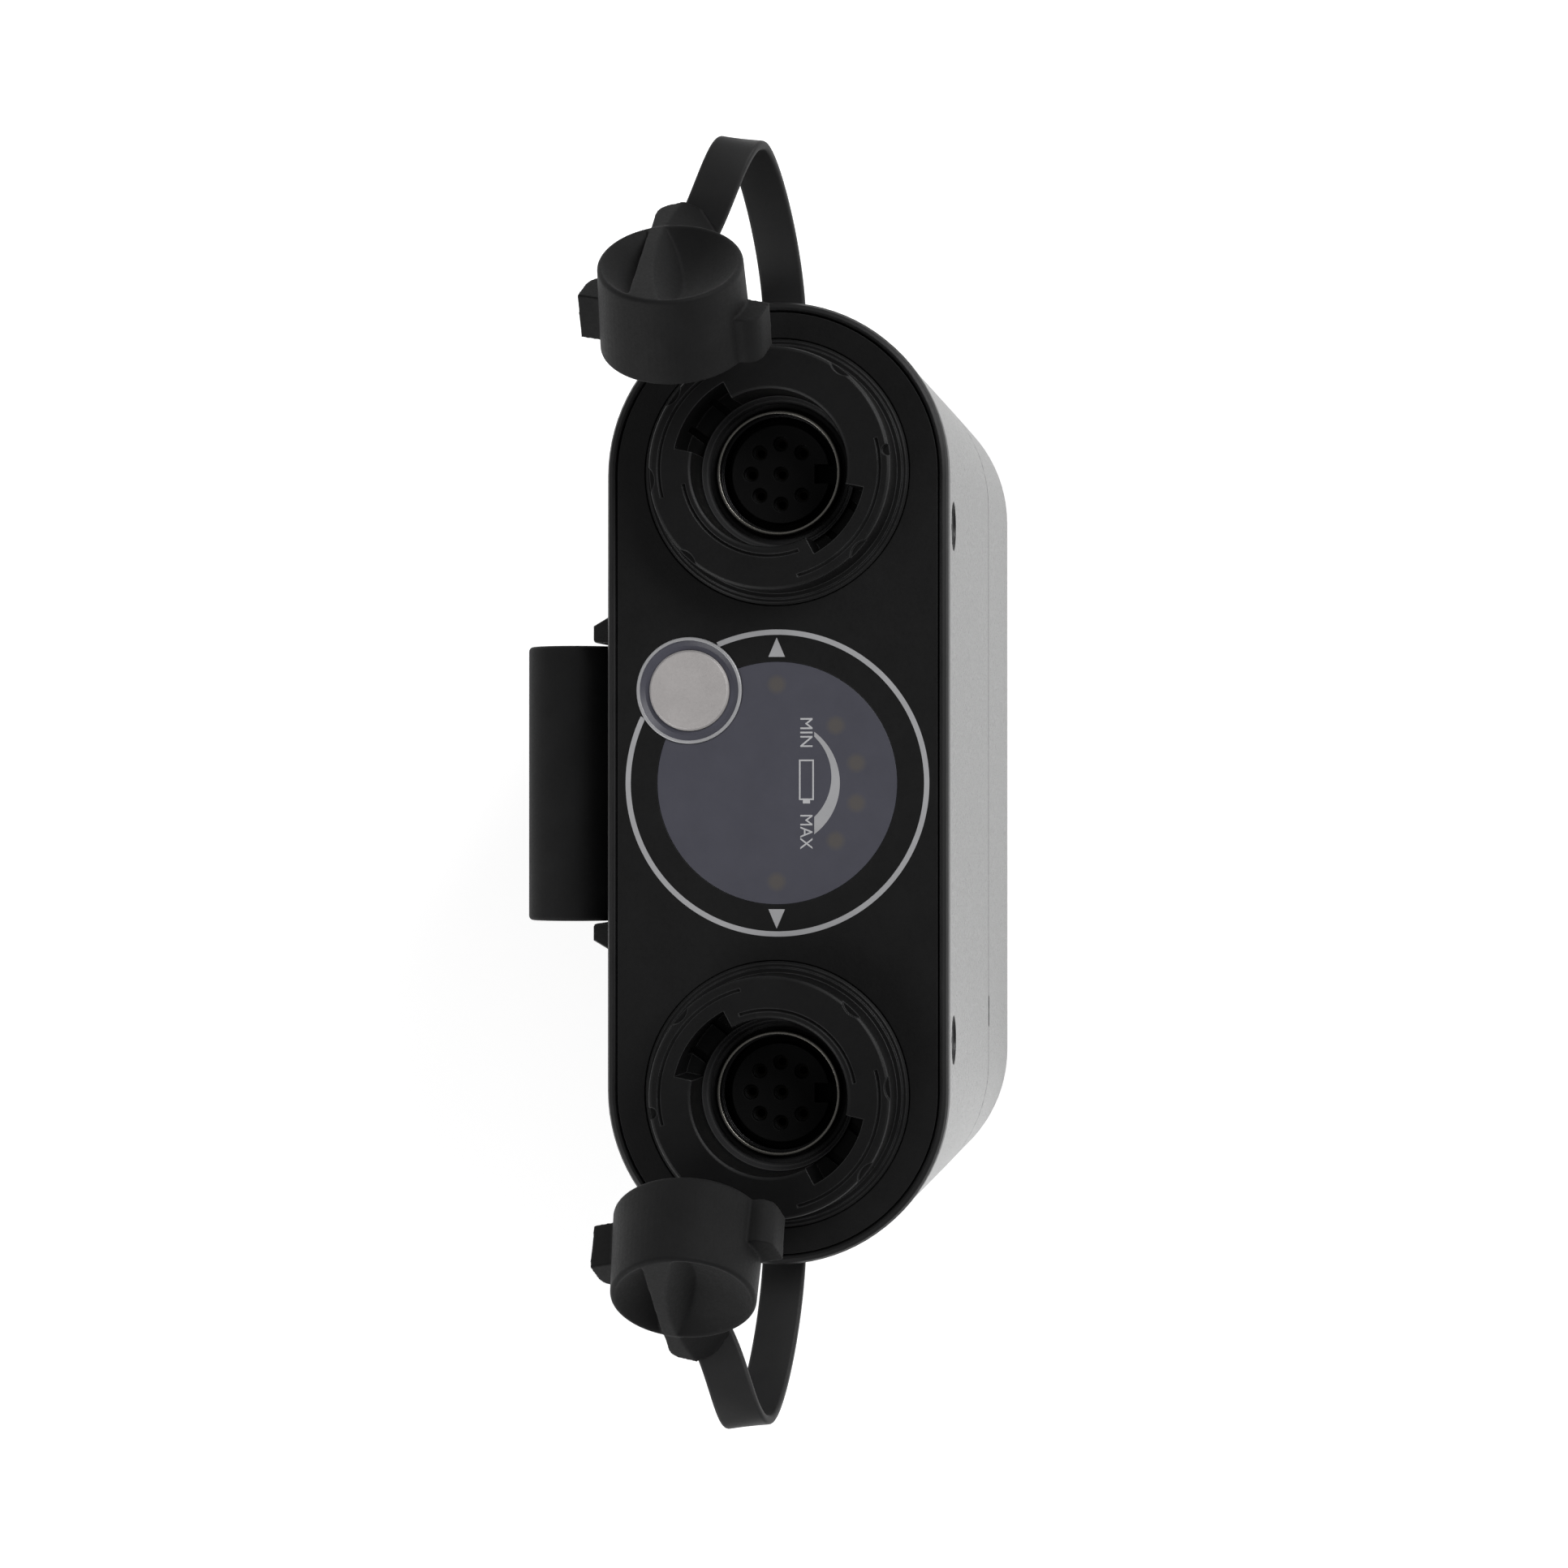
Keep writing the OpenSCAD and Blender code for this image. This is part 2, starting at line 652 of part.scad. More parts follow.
strap_root = [half_straight + shoulder_r - 2.4, 0, strap_z];
cap_open = strap_root + [-3.8, 10.35, 19.3];
cap_2_shift = [-0.4, -1.6, 0];
cap_lean = -3;
ear_turn = 78;
fin_edge = 2.3;
fin_w = 1.5;
fin_bow_r = 35;
dish_h = 3.5;
cap_bore_r = shell_r + 0.12;
cap_bore_h = 5.2;
ear_z = 0.4;
ear_h = 6;
tongue_out = cap_r + 5.7;
tongue_r = 2.4;
tongue_drop = 0.12;
tongue_h = 7;
ledge_drop = 4;
ear_reach = ear_slot_r - 0.4;
ear_w = 4.8;
ear_round = 2.2;
cap_top_r = cap_r - 0.45;

function shift_of(i) = i == 1 ? [0, 0, 0] : cap_2_shift;

// Place in the case's frame of a point given in a cap's own frame
function on_cap(s, p) = let (
        x = p[0] * cos(cap_tilt) + p[2] * sin(cap_tilt),
        z = p[2] * cos(cap_tilt) - p[0] * sin(cap_tilt))
    cap_open + s + [x * cos(cap_lean) - p[1] * sin(cap_lean),
        x * sin(cap_lean) + p[1] * cos(cap_lean), z];

// Point on a cubic curve through four control points
function bezier(p, t) = pow(1 - t, 3) * p[0] + 3 * pow(1 - t, 2) * t * p[1]
    + 3 * (1 - t) * t * t * p[2] + pow(t, 3) * p[3];
function unit(v) = v / norm(v);

// Middle line of a strap: from its root in the wall out to the turn, and back to the tongue
function strap_turn(s) = strap_root + [21.4, 3.4, 10.8] + s * 0.5;
function strap_hub(s) = on_cap(s, [tongue_out - 0.5, -1, cap_h - ledge_drop + 0.4]);
function strap_line(s, t) = t < 1
    ? bezier([strap_root, strap_root + [9, 0, 0.1],
        strap_turn(s) - [0.4, 1, 4.2], strap_turn(s)], t)
    : bezier([strap_turn(s), strap_turn(s) + [0.4, 1, 4.2],
        strap_hub(s) + [4.4, -2.4, 0.8], strap_hub(s)], t - 1);
function strap_along(s, t) = unit(strap_line(s, t + 0.01) - strap_line(s, t - 0.01));
// Direction across the strap's width, which turns as the strap comes back to the tongue
function strap_across(s, t) = let (
        along = strap_along(s, t),
        lean = unit([-0.45 * pow(t / 2, 2), -1, 0]))
    unit(lean - (lean * along) * along);

// Corners of one cross-section, with bevelled edges
function strap_section(s, t) = let (
        w = strap_across(s, t),
        n = cross(strap_along(s, t), w),
        hw = strap_w / 2,
        ht = strap_t / 2,
        b = 0.3)
    [for (c = [[hw - b, -ht], [hw, b - ht], [hw, ht - b], [hw - b, ht],
            [b - hw, ht], [-hw, ht - b], [-hw, b - ht], [b - hw, -ht]])
        strap_line(s, t) + c[0] * w + c[1] * n];

// Solid band along the strap's middle line from t0 to t1
module strap_band(s, t0, t1, steps) {
    rings = [for (k = [0:steps]) strap_section(s, t0 + (t1 - t0) * k / steps)];
    corners = 8;
    polyhedron(
        points = [for (r = rings) for (p = r) p],
        faces = concat(
            [[for (k = [0:corners - 1]) k]],
            [[for (k = [corners - 1:-1:0]) steps * corners + k]],
            [for (j = [0:steps - 1]) for (k = [0:corners - 1])
                [j * corners + k, (j + 1) * corners + k,
                    (j + 1) * corners + (k + 1) % corners, j * corners + (k + 1) % corners]]));
}

// Space over the fin's sloped side, from the fin's edge down at 45 degrees
module beside_fin() {
    translate([4, fin_edge - fin_bow_r, cap_h - ledge_drop])
        cylinder(r1 = fin_bow_r - ledge_drop, r2 = fin_bow_r + 1, h = ledge_drop + 1);
}

// Tongue that carries the fin on over the cap's edge, out to the strap
module tongue() {
    flank = fin_edge + fin_w - 0.1;
    turn_x = tongue_out - 1.3 - tongue_r;
    difference() {
        translate([0, 0, cap_h - tongue_h]) linear_extrude(height = tongue_h - tongue_drop)
            polygon(concat(
                [[6, -3.4], [tongue_out, -3.2], [tongue_out, -0.6]],
                [for (a = [15:15:90]) [turn_x + tongue_r * cos(a),
                    flank - tongue_r + tongue_r * sin(a)]],
                [[6, flank]]));
        beside_fin();
        // Underside that rises towards the strap
        rotate([90, 0, 0]) translate([0, 0, -5]) linear_extrude(height = 10) polygon([
            [cap_top_r + 0.5, cap_h - tongue_h - 0.5], [tongue_out + 1, cap_h - tongue_h - 0.5],
            [tongue_out + 1, cap_h - ledge_drop - 1.3]]);
    }
}

module cap_body() {
    dish_edge_r = cap_top_r - 0.55;
    dish_r = (pow(dish_edge_r, 2) + pow(dish_h, 2)) / (2 * dish_h);
    difference() {
        union() {
            rotate_extrude() polygon([
                [cap_bore_r + 0.3, 0], [cap_r - 0.3, 0], [cap_r, 0.3], [cap_top_r, cap_h - 0.3],
                [cap_top_r - 0.3, cap_h], [0, cap_h], [0, cap_bore_h],
                [cap_bore_r, cap_bore_h], [cap_bore_r, 0.3]]);
            tongue();
        }
        // Dish in the top, with the fin left standing across it
        intersection() {
            translate([0, 0, cap_h - dish_h + dish_r]) sphere(r = dish_r);
            union() {
                beside_fin();
                translate([-cap_r, fin_edge + fin_w, cap_h - ledge_drop])
                    cube([2 * cap_r, cap_r, ledge_drop + 1]);
            }
        }
    }
    // Ears that enter the socket's slots, rounded on the side that leads
    for (s = [0, 180]) rotate([0, 0, ear_turn + s]) translate([0, 0, ear_z])
        linear_extrude(height = ear_h) polygon(concat(
            [[ear_reach, ear_w / 2], [cap_top_r - 0.4, ear_w / 2],
                [cap_top_r - 0.4, -ear_w / 2]],
            [for (a = [-90:15:0]) [ear_reach - ear_round + ear_round * cos(a),
                ear_round - ear_w / 2 + ear_round * sin(a)]]));
}

// Where along its line the strap parts from the stub on the cap
function parting() = 1.87;

module cap(i) {
    s = shift_of(i);
    color("#3a3a3d") mirror([i - 1, 0, 0]) union() {
        translate(cap_open + s) rotate([0, cap_tilt, cap_lean]) cap_body();
        strap_band(s, parting() + 0.003, 2, 2);
    }
}

module strap(i) {
    foot_in = half_straight + skirt_in_r + 0.25;
    color("#3a3a3d") mirror([i - 1, 0, 0]) union() {
        strap_band(shift_of(i), 0, parting(), 56);
        // Foot behind the wall
        intersection() {
            translate([foot_in, -strap_foot_w / 2, strap_z - 2.6])
                cube([4, strap_foot_w, strap_foot_h]);
            translate([half_straight, 0, 0])
                cylinder(r = wall_r(strap_z - 3) - wall_t, h = body_h);
        }
    }
}

// ---- belt clip ----

bend_y = pad_y + clip_bend_r;
bend_z = clip_top_z - clip_bend_r;
hinge_z = clip_top_z - clip_t / 2;

// Sheet profile of the clip in (Y, Z), split at the crown
module bend_ring() {
    difference() {
        circle(r = clip_bend_r);
        circle(r = clip_bend_r - clip_t);
    }
}

module clip_sheet() {
    rotate([90, 0, 90]) translate([0, 0, -clip_w / 2]) linear_extrude(height = clip_w)
        children();
}

module clip_foot() {
    foot_z = clip_top_z - 36;
    color("#2a2a2c") difference() {
        clip_sheet() {
            translate([bend_y, bend_z]) intersection() {
                bend_ring();
                translate([-10, 0]) square([10, 10]);
            }
            translate([pad_y, foot_z]) square([clip_t, bend_z - foot_z]);
        }
        translate([-clip_w / 2 - 1, bend_y, hinge_z]) rotate([0, 90, 0])
            cylinder(r = clip_t / 2 + 0.05, h = clip_w + 2);
        at_clip_screws() translate([0, 0, pad_y - 1]) cylinder(r = 1.4, h = 4);
    }
}

module clip_arm() {
    out_y = bend_y + clip_bend_r;
    tip_y = pad_y + 2.6;
    tip_z = clip_top_z - 52;
    lift_z = clip_top_z - 61;
    straight_z = clip_top_z - 24;
    color("#2a2a2c") difference() {
        union() {
            clip_sheet() {
                translate([bend_y, bend_z]) intersection() {
                    bend_ring();
                    translate([0, 0]) square([10, 10]);
                }
                polygon([[out_y, bend_z], [out_y, straight_z], [tip_y + clip_t, tip_z],
                    [tip_y + clip_t + 3, lift_z], [tip_y + 3, lift_z], [tip_y, tip_z],
                    [out_y - clip_t, straight_z], [out_y - clip_t, bend_z]]);
            }
            translate([-clip_w / 2, bend_y, hinge_z]) rotate([0, 90, 0])
                cylinder(r = clip_t / 2, h = clip_w);
        }
        // Rounded lower corners of the arm
        for (s = [0, 1]) mirror([s, 0, 0]) translate([clip_w / 2 - 5, pad_y, lift_z - 1])
            difference() {
                cube([6, 12, 6]);
                translate([0, -1, 6]) rotate([-90, 0, 0]) cylinder(r = 5, h = 14);
            }
    }
}

module clip_screws() {
    color("#7a7a7c") at_clip_screws() translate([0, 0, pad_y + clip_t + 1])
        screw(2.4, 1, 1.25, 4.1);
}

// ---- battery and boards ----

// Series groups of three cells part at these places in every six, below and on top
bottom_break = 2;
top_break = 5;

// Strip from each cell to the next, left out where a group ends
module strip_outline(gap_at, grow = 0) {
    strip_w = 5;
    for (k = [0:last_cell]) translate(cell_at(k)) {
        circle(r = 3.5 + grow);
        if (k < last_cell && k % 6 != gap_at) {
            step = cell_at(k + 1) - cell_at(k);
            rotate(atan2(step[1], step[0])) translate([0, -strip_w / 2 - grow])
                square([norm(step), strip_w + 2 * grow]);
        }
    }
}

module battery_cells() {
    color("#2f7f9c") at_cell() {
        translate([0, 0, cell_z]) difference() {
            cylinder(r = cell_r, h = cell_h - 0.8);
            translate([0, 0, cell_h - 4]) ring(cell_r + 1, cell_r - 0.35, 0, 1);
        }
        translate([0, 0, cell_z + cell_h - 1]) cylinder(r = 3.6, h = 1);
    }
}

module cell_holder_bottom() {
    holder_h = 9;
    step_h = 2.1;
    color("#3c3c40") difference() {
        union() {
            translate([0, 0, floor_t]) linear_extrude(height = step_h + 0.5)
                pill(foot_r - wall_t - 1.7);
            translate([0, 0, floor_t + step_h]) linear_extrude(height = holder_h - step_h)
                pill(foot_r - wall_t - 0.5);
        }
        at_end_posts() translate([0, 0, floor_t - 1])
            cylinder(r = end_boss_r + 2 * fit, h = holder_h + 2);
        at_cell() {
            translate([0, 0, cell_z - strip_t]) cylinder(r = cell_r + fit, h = 12);
            cylinder(r = 5, h = 10);
        }
        translate([0, 0, cell_z - strip_t]) linear_extrude(height = 2 * strip_t)
            strip_outline(bottom_break, fit);
    }
}

module cell_holder_top() {
    color("#3c3c40") difference() {
        translate([0, 0, cell_top - 8]) linear_extrude(height = holder_top_z - cell_top + 8)
            pill(wall_r(cell_top - 8) - wall_t - 0.3);
        at_cell() {
            translate([0, 0, cell_top - 9]) cylinder(r = cell_r + fit, h = 9 + strip_t);
            translate([0, 0, cell_top - 1]) cylinder(r = 4, h = 5);
        }
        translate([0, 0, cell_top - strip_t]) linear_extrude(height = 2 * strip_t)
            strip_outline(top_break, fit);
    }
    // Posts for the power board, between the outer cells of each row
    color("#3c3c40") for (k = [0, 1, last_cell - 3, last_cell - 2])
        translate(cell_at(k) + [cell_pitch / 2, 0, holder_top_z - 0.1])
            cylinder(r = 2, h = power_board_z - holder_top_z + 0.1);
}

module cell_strips() {
    color("#c0c0c0") {
        translate([0, 0, cell_z - strip_t]) linear_extrude(height = strip_t)
            strip_outline(bottom_break);
        translate([0, 0, cell_top]) linear_extrude(height = strip_t) strip_outline(top_break);
    }
}

module power_board() {
    color("#1d4a33") translate([0, 0, power_board_z]) linear_extrude(height = board_t)
        difference() {
            square([2 * power_board_x, power_board_w], center = true);
            for (s = sides) translate([s * power_board_x, 0]) circle(r = 3);
        }
}

module board_parts() {
    color("#202024") translate([0, 0, power_board_z + board_t]) {
        for (x = [-18:9:0]) translate([x, -9, 0]) cube([6.5, 5, 1.6]);
        translate([-16, 1, 0]) cube([9, 9, 4.5]);
        translate([8, -8, 0]) cylinder(r = 3.2, h = 6);
        translate([16, -8, 0]) cylinder(r = 3.2, h = 6);
        translate([5, 4, 0]) cube([7, 7, 1.2]);
        for (y = [3, 7]) translate([17, y, 0]) cube([3.2, 1.6, 0.8]);
    }
}

module gauge_ribbon() {
    board_top = power_board_z + board_t;
    color("#8a6a30") translate([-4, -0.25, board_top])
        cube([8, 0.5, gauge_board_top - board_t - board_top]);
}

housing_body();
base_cover();
base_seal();
top_frame();
top_seal();
fascia_plate();
side_screws();
base_screws();
socket_collar(1);  // socket_collar_1
socket_collar(2);  // socket_collar_2
socket_shell(1);  // socket_shell_1
socket_shell(2);  // socket_shell_2
socket_insert(1);  // socket_insert_1
socket_insert(2);  // socket_insert_2
socket_contacts(1);  // socket_contacts_1
socket_contacts(2);  // socket_contacts_2
throat_seal(1);  // throat_seal_1
throat_seal(2);  // throat_seal_2
socket_nut(1);  // socket_nut_1
socket_nut(2);  // socket_nut_2
socket_leads(1);  // socket_leads_1
socket_leads(2);  // socket_leads_2
gauge_lens();
lamp_baffle();
gauge_lamps();
gauge_board();
board_screws();
button_bezel();
button_well();
button_cap();
switch_plunger();
button_switch();
cap(1);  // cap_1
cap(2);  // cap_2
strap(1);  // strap_1
strap(2);  // strap_2
clip_foot();
clip_arm();
clip_screws();
battery_cells();
cell_holder_bottom();
cell_holder_top();
cell_strips();
power_board();
board_parts();
gauge_ribbon();
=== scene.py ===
import json
import math

import bmesh
import bpy
from mathutils import Matrix, Vector

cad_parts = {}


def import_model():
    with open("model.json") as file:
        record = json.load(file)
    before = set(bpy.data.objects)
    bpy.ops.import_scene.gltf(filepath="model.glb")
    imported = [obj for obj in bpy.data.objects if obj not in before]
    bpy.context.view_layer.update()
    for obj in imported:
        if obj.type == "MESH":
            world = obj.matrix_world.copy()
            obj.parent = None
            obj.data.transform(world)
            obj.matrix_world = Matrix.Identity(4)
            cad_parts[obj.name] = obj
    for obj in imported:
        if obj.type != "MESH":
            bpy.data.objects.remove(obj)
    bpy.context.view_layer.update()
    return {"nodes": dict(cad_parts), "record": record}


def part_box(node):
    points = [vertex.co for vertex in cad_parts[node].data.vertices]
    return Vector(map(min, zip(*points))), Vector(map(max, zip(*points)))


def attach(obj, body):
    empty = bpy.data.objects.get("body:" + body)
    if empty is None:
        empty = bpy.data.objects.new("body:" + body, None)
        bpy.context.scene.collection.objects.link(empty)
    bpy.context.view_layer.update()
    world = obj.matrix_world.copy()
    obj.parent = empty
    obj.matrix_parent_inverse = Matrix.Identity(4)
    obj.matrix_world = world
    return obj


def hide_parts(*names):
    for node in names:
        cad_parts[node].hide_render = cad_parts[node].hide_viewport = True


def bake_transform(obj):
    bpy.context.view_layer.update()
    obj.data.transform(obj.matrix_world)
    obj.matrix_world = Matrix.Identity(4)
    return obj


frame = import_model()

MM = 0.001
nodes = frame["nodes"]

# ---- places taken from the frame ----

TOP_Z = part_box("top_frame")[1].z
PLATE_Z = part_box("fascia_plate")[1].z
LENS_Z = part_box("gauge_lens")[1].z
SHELL_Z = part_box("socket_shell_1")[1].z
button_lo, button_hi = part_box("button_bezel")
BUTTON = (button_lo + button_hi) / 2
JOINTS = {joint["name"]: joint for joint in frame["record"]["behaviour"]["joints"]}

# ---- sizes that the scene's own pieces share ----

BEZEL_R = 6.7 * MM
CLIP_SHEET = 1.4 * MM
STRAP_W = 5.4 * MM
STRAP_T = 1.2 * MM
PRINT_T = 0.03 * MM

# Lamps behind the window: one at each end, four on an arc over the words
LAMP_X = 12.16 * MM
LAMP_ARC_R = 10.2 * MM
LAMPS = [(-LAMP_X, 0), (LAMP_X, 0)]
LAMPS += [(LAMP_ARC_R * math.cos(math.radians(a)), LAMP_ARC_R * math.sin(math.radians(a)))
          for a in (-134, -104, -76, -46)]

# Sockets of Blender's colour mix node
MIX_A, MIX_B, MIX_RESULT = 6, 7, 2


# ---- node materials ----

def new_material(name):
    mat = bpy.data.materials.new(name)
    mat.use_nodes = True
    tree = mat.node_tree
    tree.nodes.clear()
    out = tree.nodes.new("ShaderNodeOutputMaterial")
    shader = tree.nodes.new("ShaderNodeBsdfPrincipled")
    tree.links.new(shader.outputs["BSDF"], out.inputs["Surface"])
    return mat, tree, shader


def noise(tree, coords, scale, detail=4.0, rough=0.6):
    node = tree.nodes.new("ShaderNodeTexNoise")
    node.inputs["Scale"].default_value = scale
    node.inputs["Detail"].default_value = detail
    node.inputs["Roughness"].default_value = rough
    tree.links.new(coords, node.inputs["Vector"])
    return node


def object_coords(tree, stretch=(1, 1, 1)):
    tex = tree.nodes.new("ShaderNodeTexCoord")
    mapping = tree.nodes.new("ShaderNodeMapping")
    mapping.inputs["Scale"].default_value = stretch
    tree.links.new(tex.outputs["Object"], mapping.inputs["Vector"])
    return mapping.outputs["Vector"]


def ramp(tree, value, stops):
    node = tree.nodes.new("ShaderNodeValToRGB")
    elements = node.color_ramp.elements
    while len(elements) < len(stops):
        elements.new(0.5)
    for element, (pos, colour) in zip(elements, stops):
        element.position = pos
        element.color = (*colour, 1)
    tree.links.new(value, node.inputs["Fac"])
    return node.outputs["Color"]


def spread(tree, value, low, high):
    node = tree.nodes.new("ShaderNodeMapRange")
    node.inputs["From Min"].default_value = 0.3
    node.inputs["From Max"].default_value = 0.7
    node.inputs["To Min"].default_value = low
    node.inputs["To Max"].default_value = high
    tree.links.new(value, node.inputs["Value"])
    return node.outputs["Result"]


def bevel(tree, radius):
    node = tree.nodes.new("ShaderNodeBevel")
    node.samples = 6
    node.inputs["Radius"].default_value = radius
    return node.outputs["Normal"]


def edge_highlight_mask(tree, rounded, low, high):
    """0 on open faces, 1 where the rounded normal leaves the true one: along the edges, where the
    painted edge highlight goes.
    """
    true_normal = tree.nodes.new("ShaderNodeNewGeometry")
    dot = tree.nodes.new("ShaderNodeVectorMath")
    dot.operation = "DOT_PRODUCT"
    tree.links.new(rounded, dot.inputs[0])
    tree.links.new(true_normal.outputs["Normal"], dot.inputs[1])
    node = tree.nodes.new("ShaderNodeMapRange")
    node.inputs["From Min"].default_value = high
    node.inputs["From Max"].default_value = low
    tree.links.new(dot.outputs["Value"], node.inputs["Value"])
    return node.outputs["Result"]


def bump(tree, height, strength, distance, rounded=None):
    node = tree.nodes.new("ShaderNodeBump")
    node.inputs["Strength"].default_value = strength
    node.inputs["Distance"].default_value = distance
    tree.links.new(height, node.inputs["Height"])
    if rounded:
        tree.links.new(rounded, node.inputs["Normal"])
    return node.outputs["Normal"]


def sum_of(tree, first, second, gain):
    node = tree.nodes.new("ShaderNodeMath")
    node.operation = "MULTIPLY_ADD"
    tree.links.new(second, node.inputs[0])
    node.inputs[1].default_value = gain
    tree.links.new(first, node.inputs[2])
    return node.outputs["Value"]


def painted_shading_by_height(tree, colour, top, low, painted_depth_shading):
    """The colour above one height, another below a lower one, mixed between them: painted light or
    shade down in a recess.
    """
    tex = tree.nodes.new("ShaderNodeTexCoord")
    split = tree.nodes.new("ShaderNodeSeparateXYZ")
    tree.links.new(tex.outputs["Object"], split.inputs[0])
    node = tree.nodes.new("ShaderNodeMapRange")
    node.inputs["From Min"].default_value = top
    node.inputs["From Max"].default_value = low
    tree.links.new(split.outputs["Z"], node.inputs["Value"])
    mix = tree.nodes.new("ShaderNodeMix")
    mix.data_type = "RGBA"
    tree.links.new(node.outputs["Result"], mix.inputs["Factor"])
    tree.links.new(colour, mix.inputs[MIX_A])
    mix.inputs[MIX_B].default_value = (*painted_depth_shading, 1)
    return mix.outputs[MIX_RESULT]


def surface(name, dark, light, rough, grain=3500, grain_depth=0.02, grain_strength=0.4,
            metallic=0.0, edge=0.0, specular=0.5, sheen=0.0, painted_edge_highlight=None, painted_depth_shading=None):
    """Moulded, painted or metal finish: two tones in soft patches, grain in the bump.

    With an edge radius the edges are rounded, and a painted edge highlight, a lighter colour,
    shows along them.
    Painted depth shading takes another colour between two heights, as (top, low, colour): painted
    light or shade down in a recess.
    """
    mat, tree, shader = new_material(name)
    coords = object_coords(tree)
    patches = noise(tree, coords, 180, 5.0, 0.65)
    grains = noise(tree, coords, grain, 3.0, 0.7)
    tone = sum_of(tree, patches.outputs["Fac"], grains.outputs["Fac"], 0.1)
    stops = [(0.35, dark), (0.75, light)]
    rounded = None
    if edge:
        rounded = bevel(tree, edge)
        # Painted edge highlight: a lighter colour mixed in along the rounded edges.
        if painted_edge_highlight:
            tone = sum_of(tree, tone, edge_highlight_mask(tree, rounded, 0.86, 0.985), 0.45)
            stops.append((1.0, painted_edge_highlight))
    colour = ramp(tree, tone, stops)
    # Painted light or shade: another colour below a height, down in a recess.
    if painted_depth_shading:
        colour = painted_shading_by_height(tree, colour, *painted_depth_shading)
    tree.links.new(colour, shader.inputs["Base Color"])
    tree.links.new(spread(tree, grains.outputs["Fac"], rough[0], rough[1]),
                   shader.inputs["Roughness"])
    tree.links.new(bump(tree, grains.outputs["Fac"], grain_strength, grain_depth * MM, rounded),
                   shader.inputs["Normal"])
    shader.inputs["Metallic"].default_value = metallic
    shader.inputs["Specular IOR Level"].default_value = specular
    if sheen:
        shader.inputs["Sheen Weight"].default_value = sheen
        shader.inputs["Sheen Roughness"].default_value = 0.5
    return mat


def grey(value):
    return (value, value, value * 1.03)


def smoked_window():
    """Smoked window with the lamps just showing through it."""
    mat = surface("smoked_window", (0.052, 0.052, 0.068), (0.060, 0.060, 0.078), (0.42, 0.5),
                  grain=5000, grain_depth=0.01, grain_strength=0.2, edge=0.15 * MM)
    tree = mat.node_tree
    shader = next(n for n in tree.nodes if n.type == "BSDF_PRINCIPLED")
    coords = object_coords(tree)
    nearest = None
    for x, y in LAMPS:
        gap = tree.nodes.new("ShaderNodeVectorMath")
        gap.operation = "DISTANCE"
        gap.inputs[1].default_value = (x, y, LENS_Z)
        tree.links.new(coords, gap.inputs[0])
        if nearest is None:
            nearest = gap.outputs["Value"]
        else:
            least = tree.nodes.new("ShaderNodeMath")
            least.operation = "MINIMUM"
            tree.links.new(nearest, least.inputs[0])
            tree.links.new(gap.outputs["Value"], least.inputs[1])
            nearest = least.outputs["Value"]
    glow = tree.nodes.new("ShaderNodeMapRange")
    glow.inputs["From Min"].default_value = 1.35 * MM
    glow.inputs["From Max"].default_value = 0.65 * MM
    glow.inputs["To Max"].default_value = 0.8
    tree.links.new(nearest, glow.inputs["Value"])
    mix = tree.nodes.new("ShaderNodeMix")
    mix.data_type = "RGBA"
    base = shader.inputs["Base Color"].links[0].from_socket
    tree.links.new(glow.outputs["Result"], mix.inputs["Factor"])
    tree.links.new(base, mix.inputs[MIX_A])
    mix.inputs[MIX_B].default_value = (0.082, 0.073, 0.065, 1)
    tree.links.new(mix.outputs[MIX_RESULT], shader.inputs["Base Color"])
    return mat
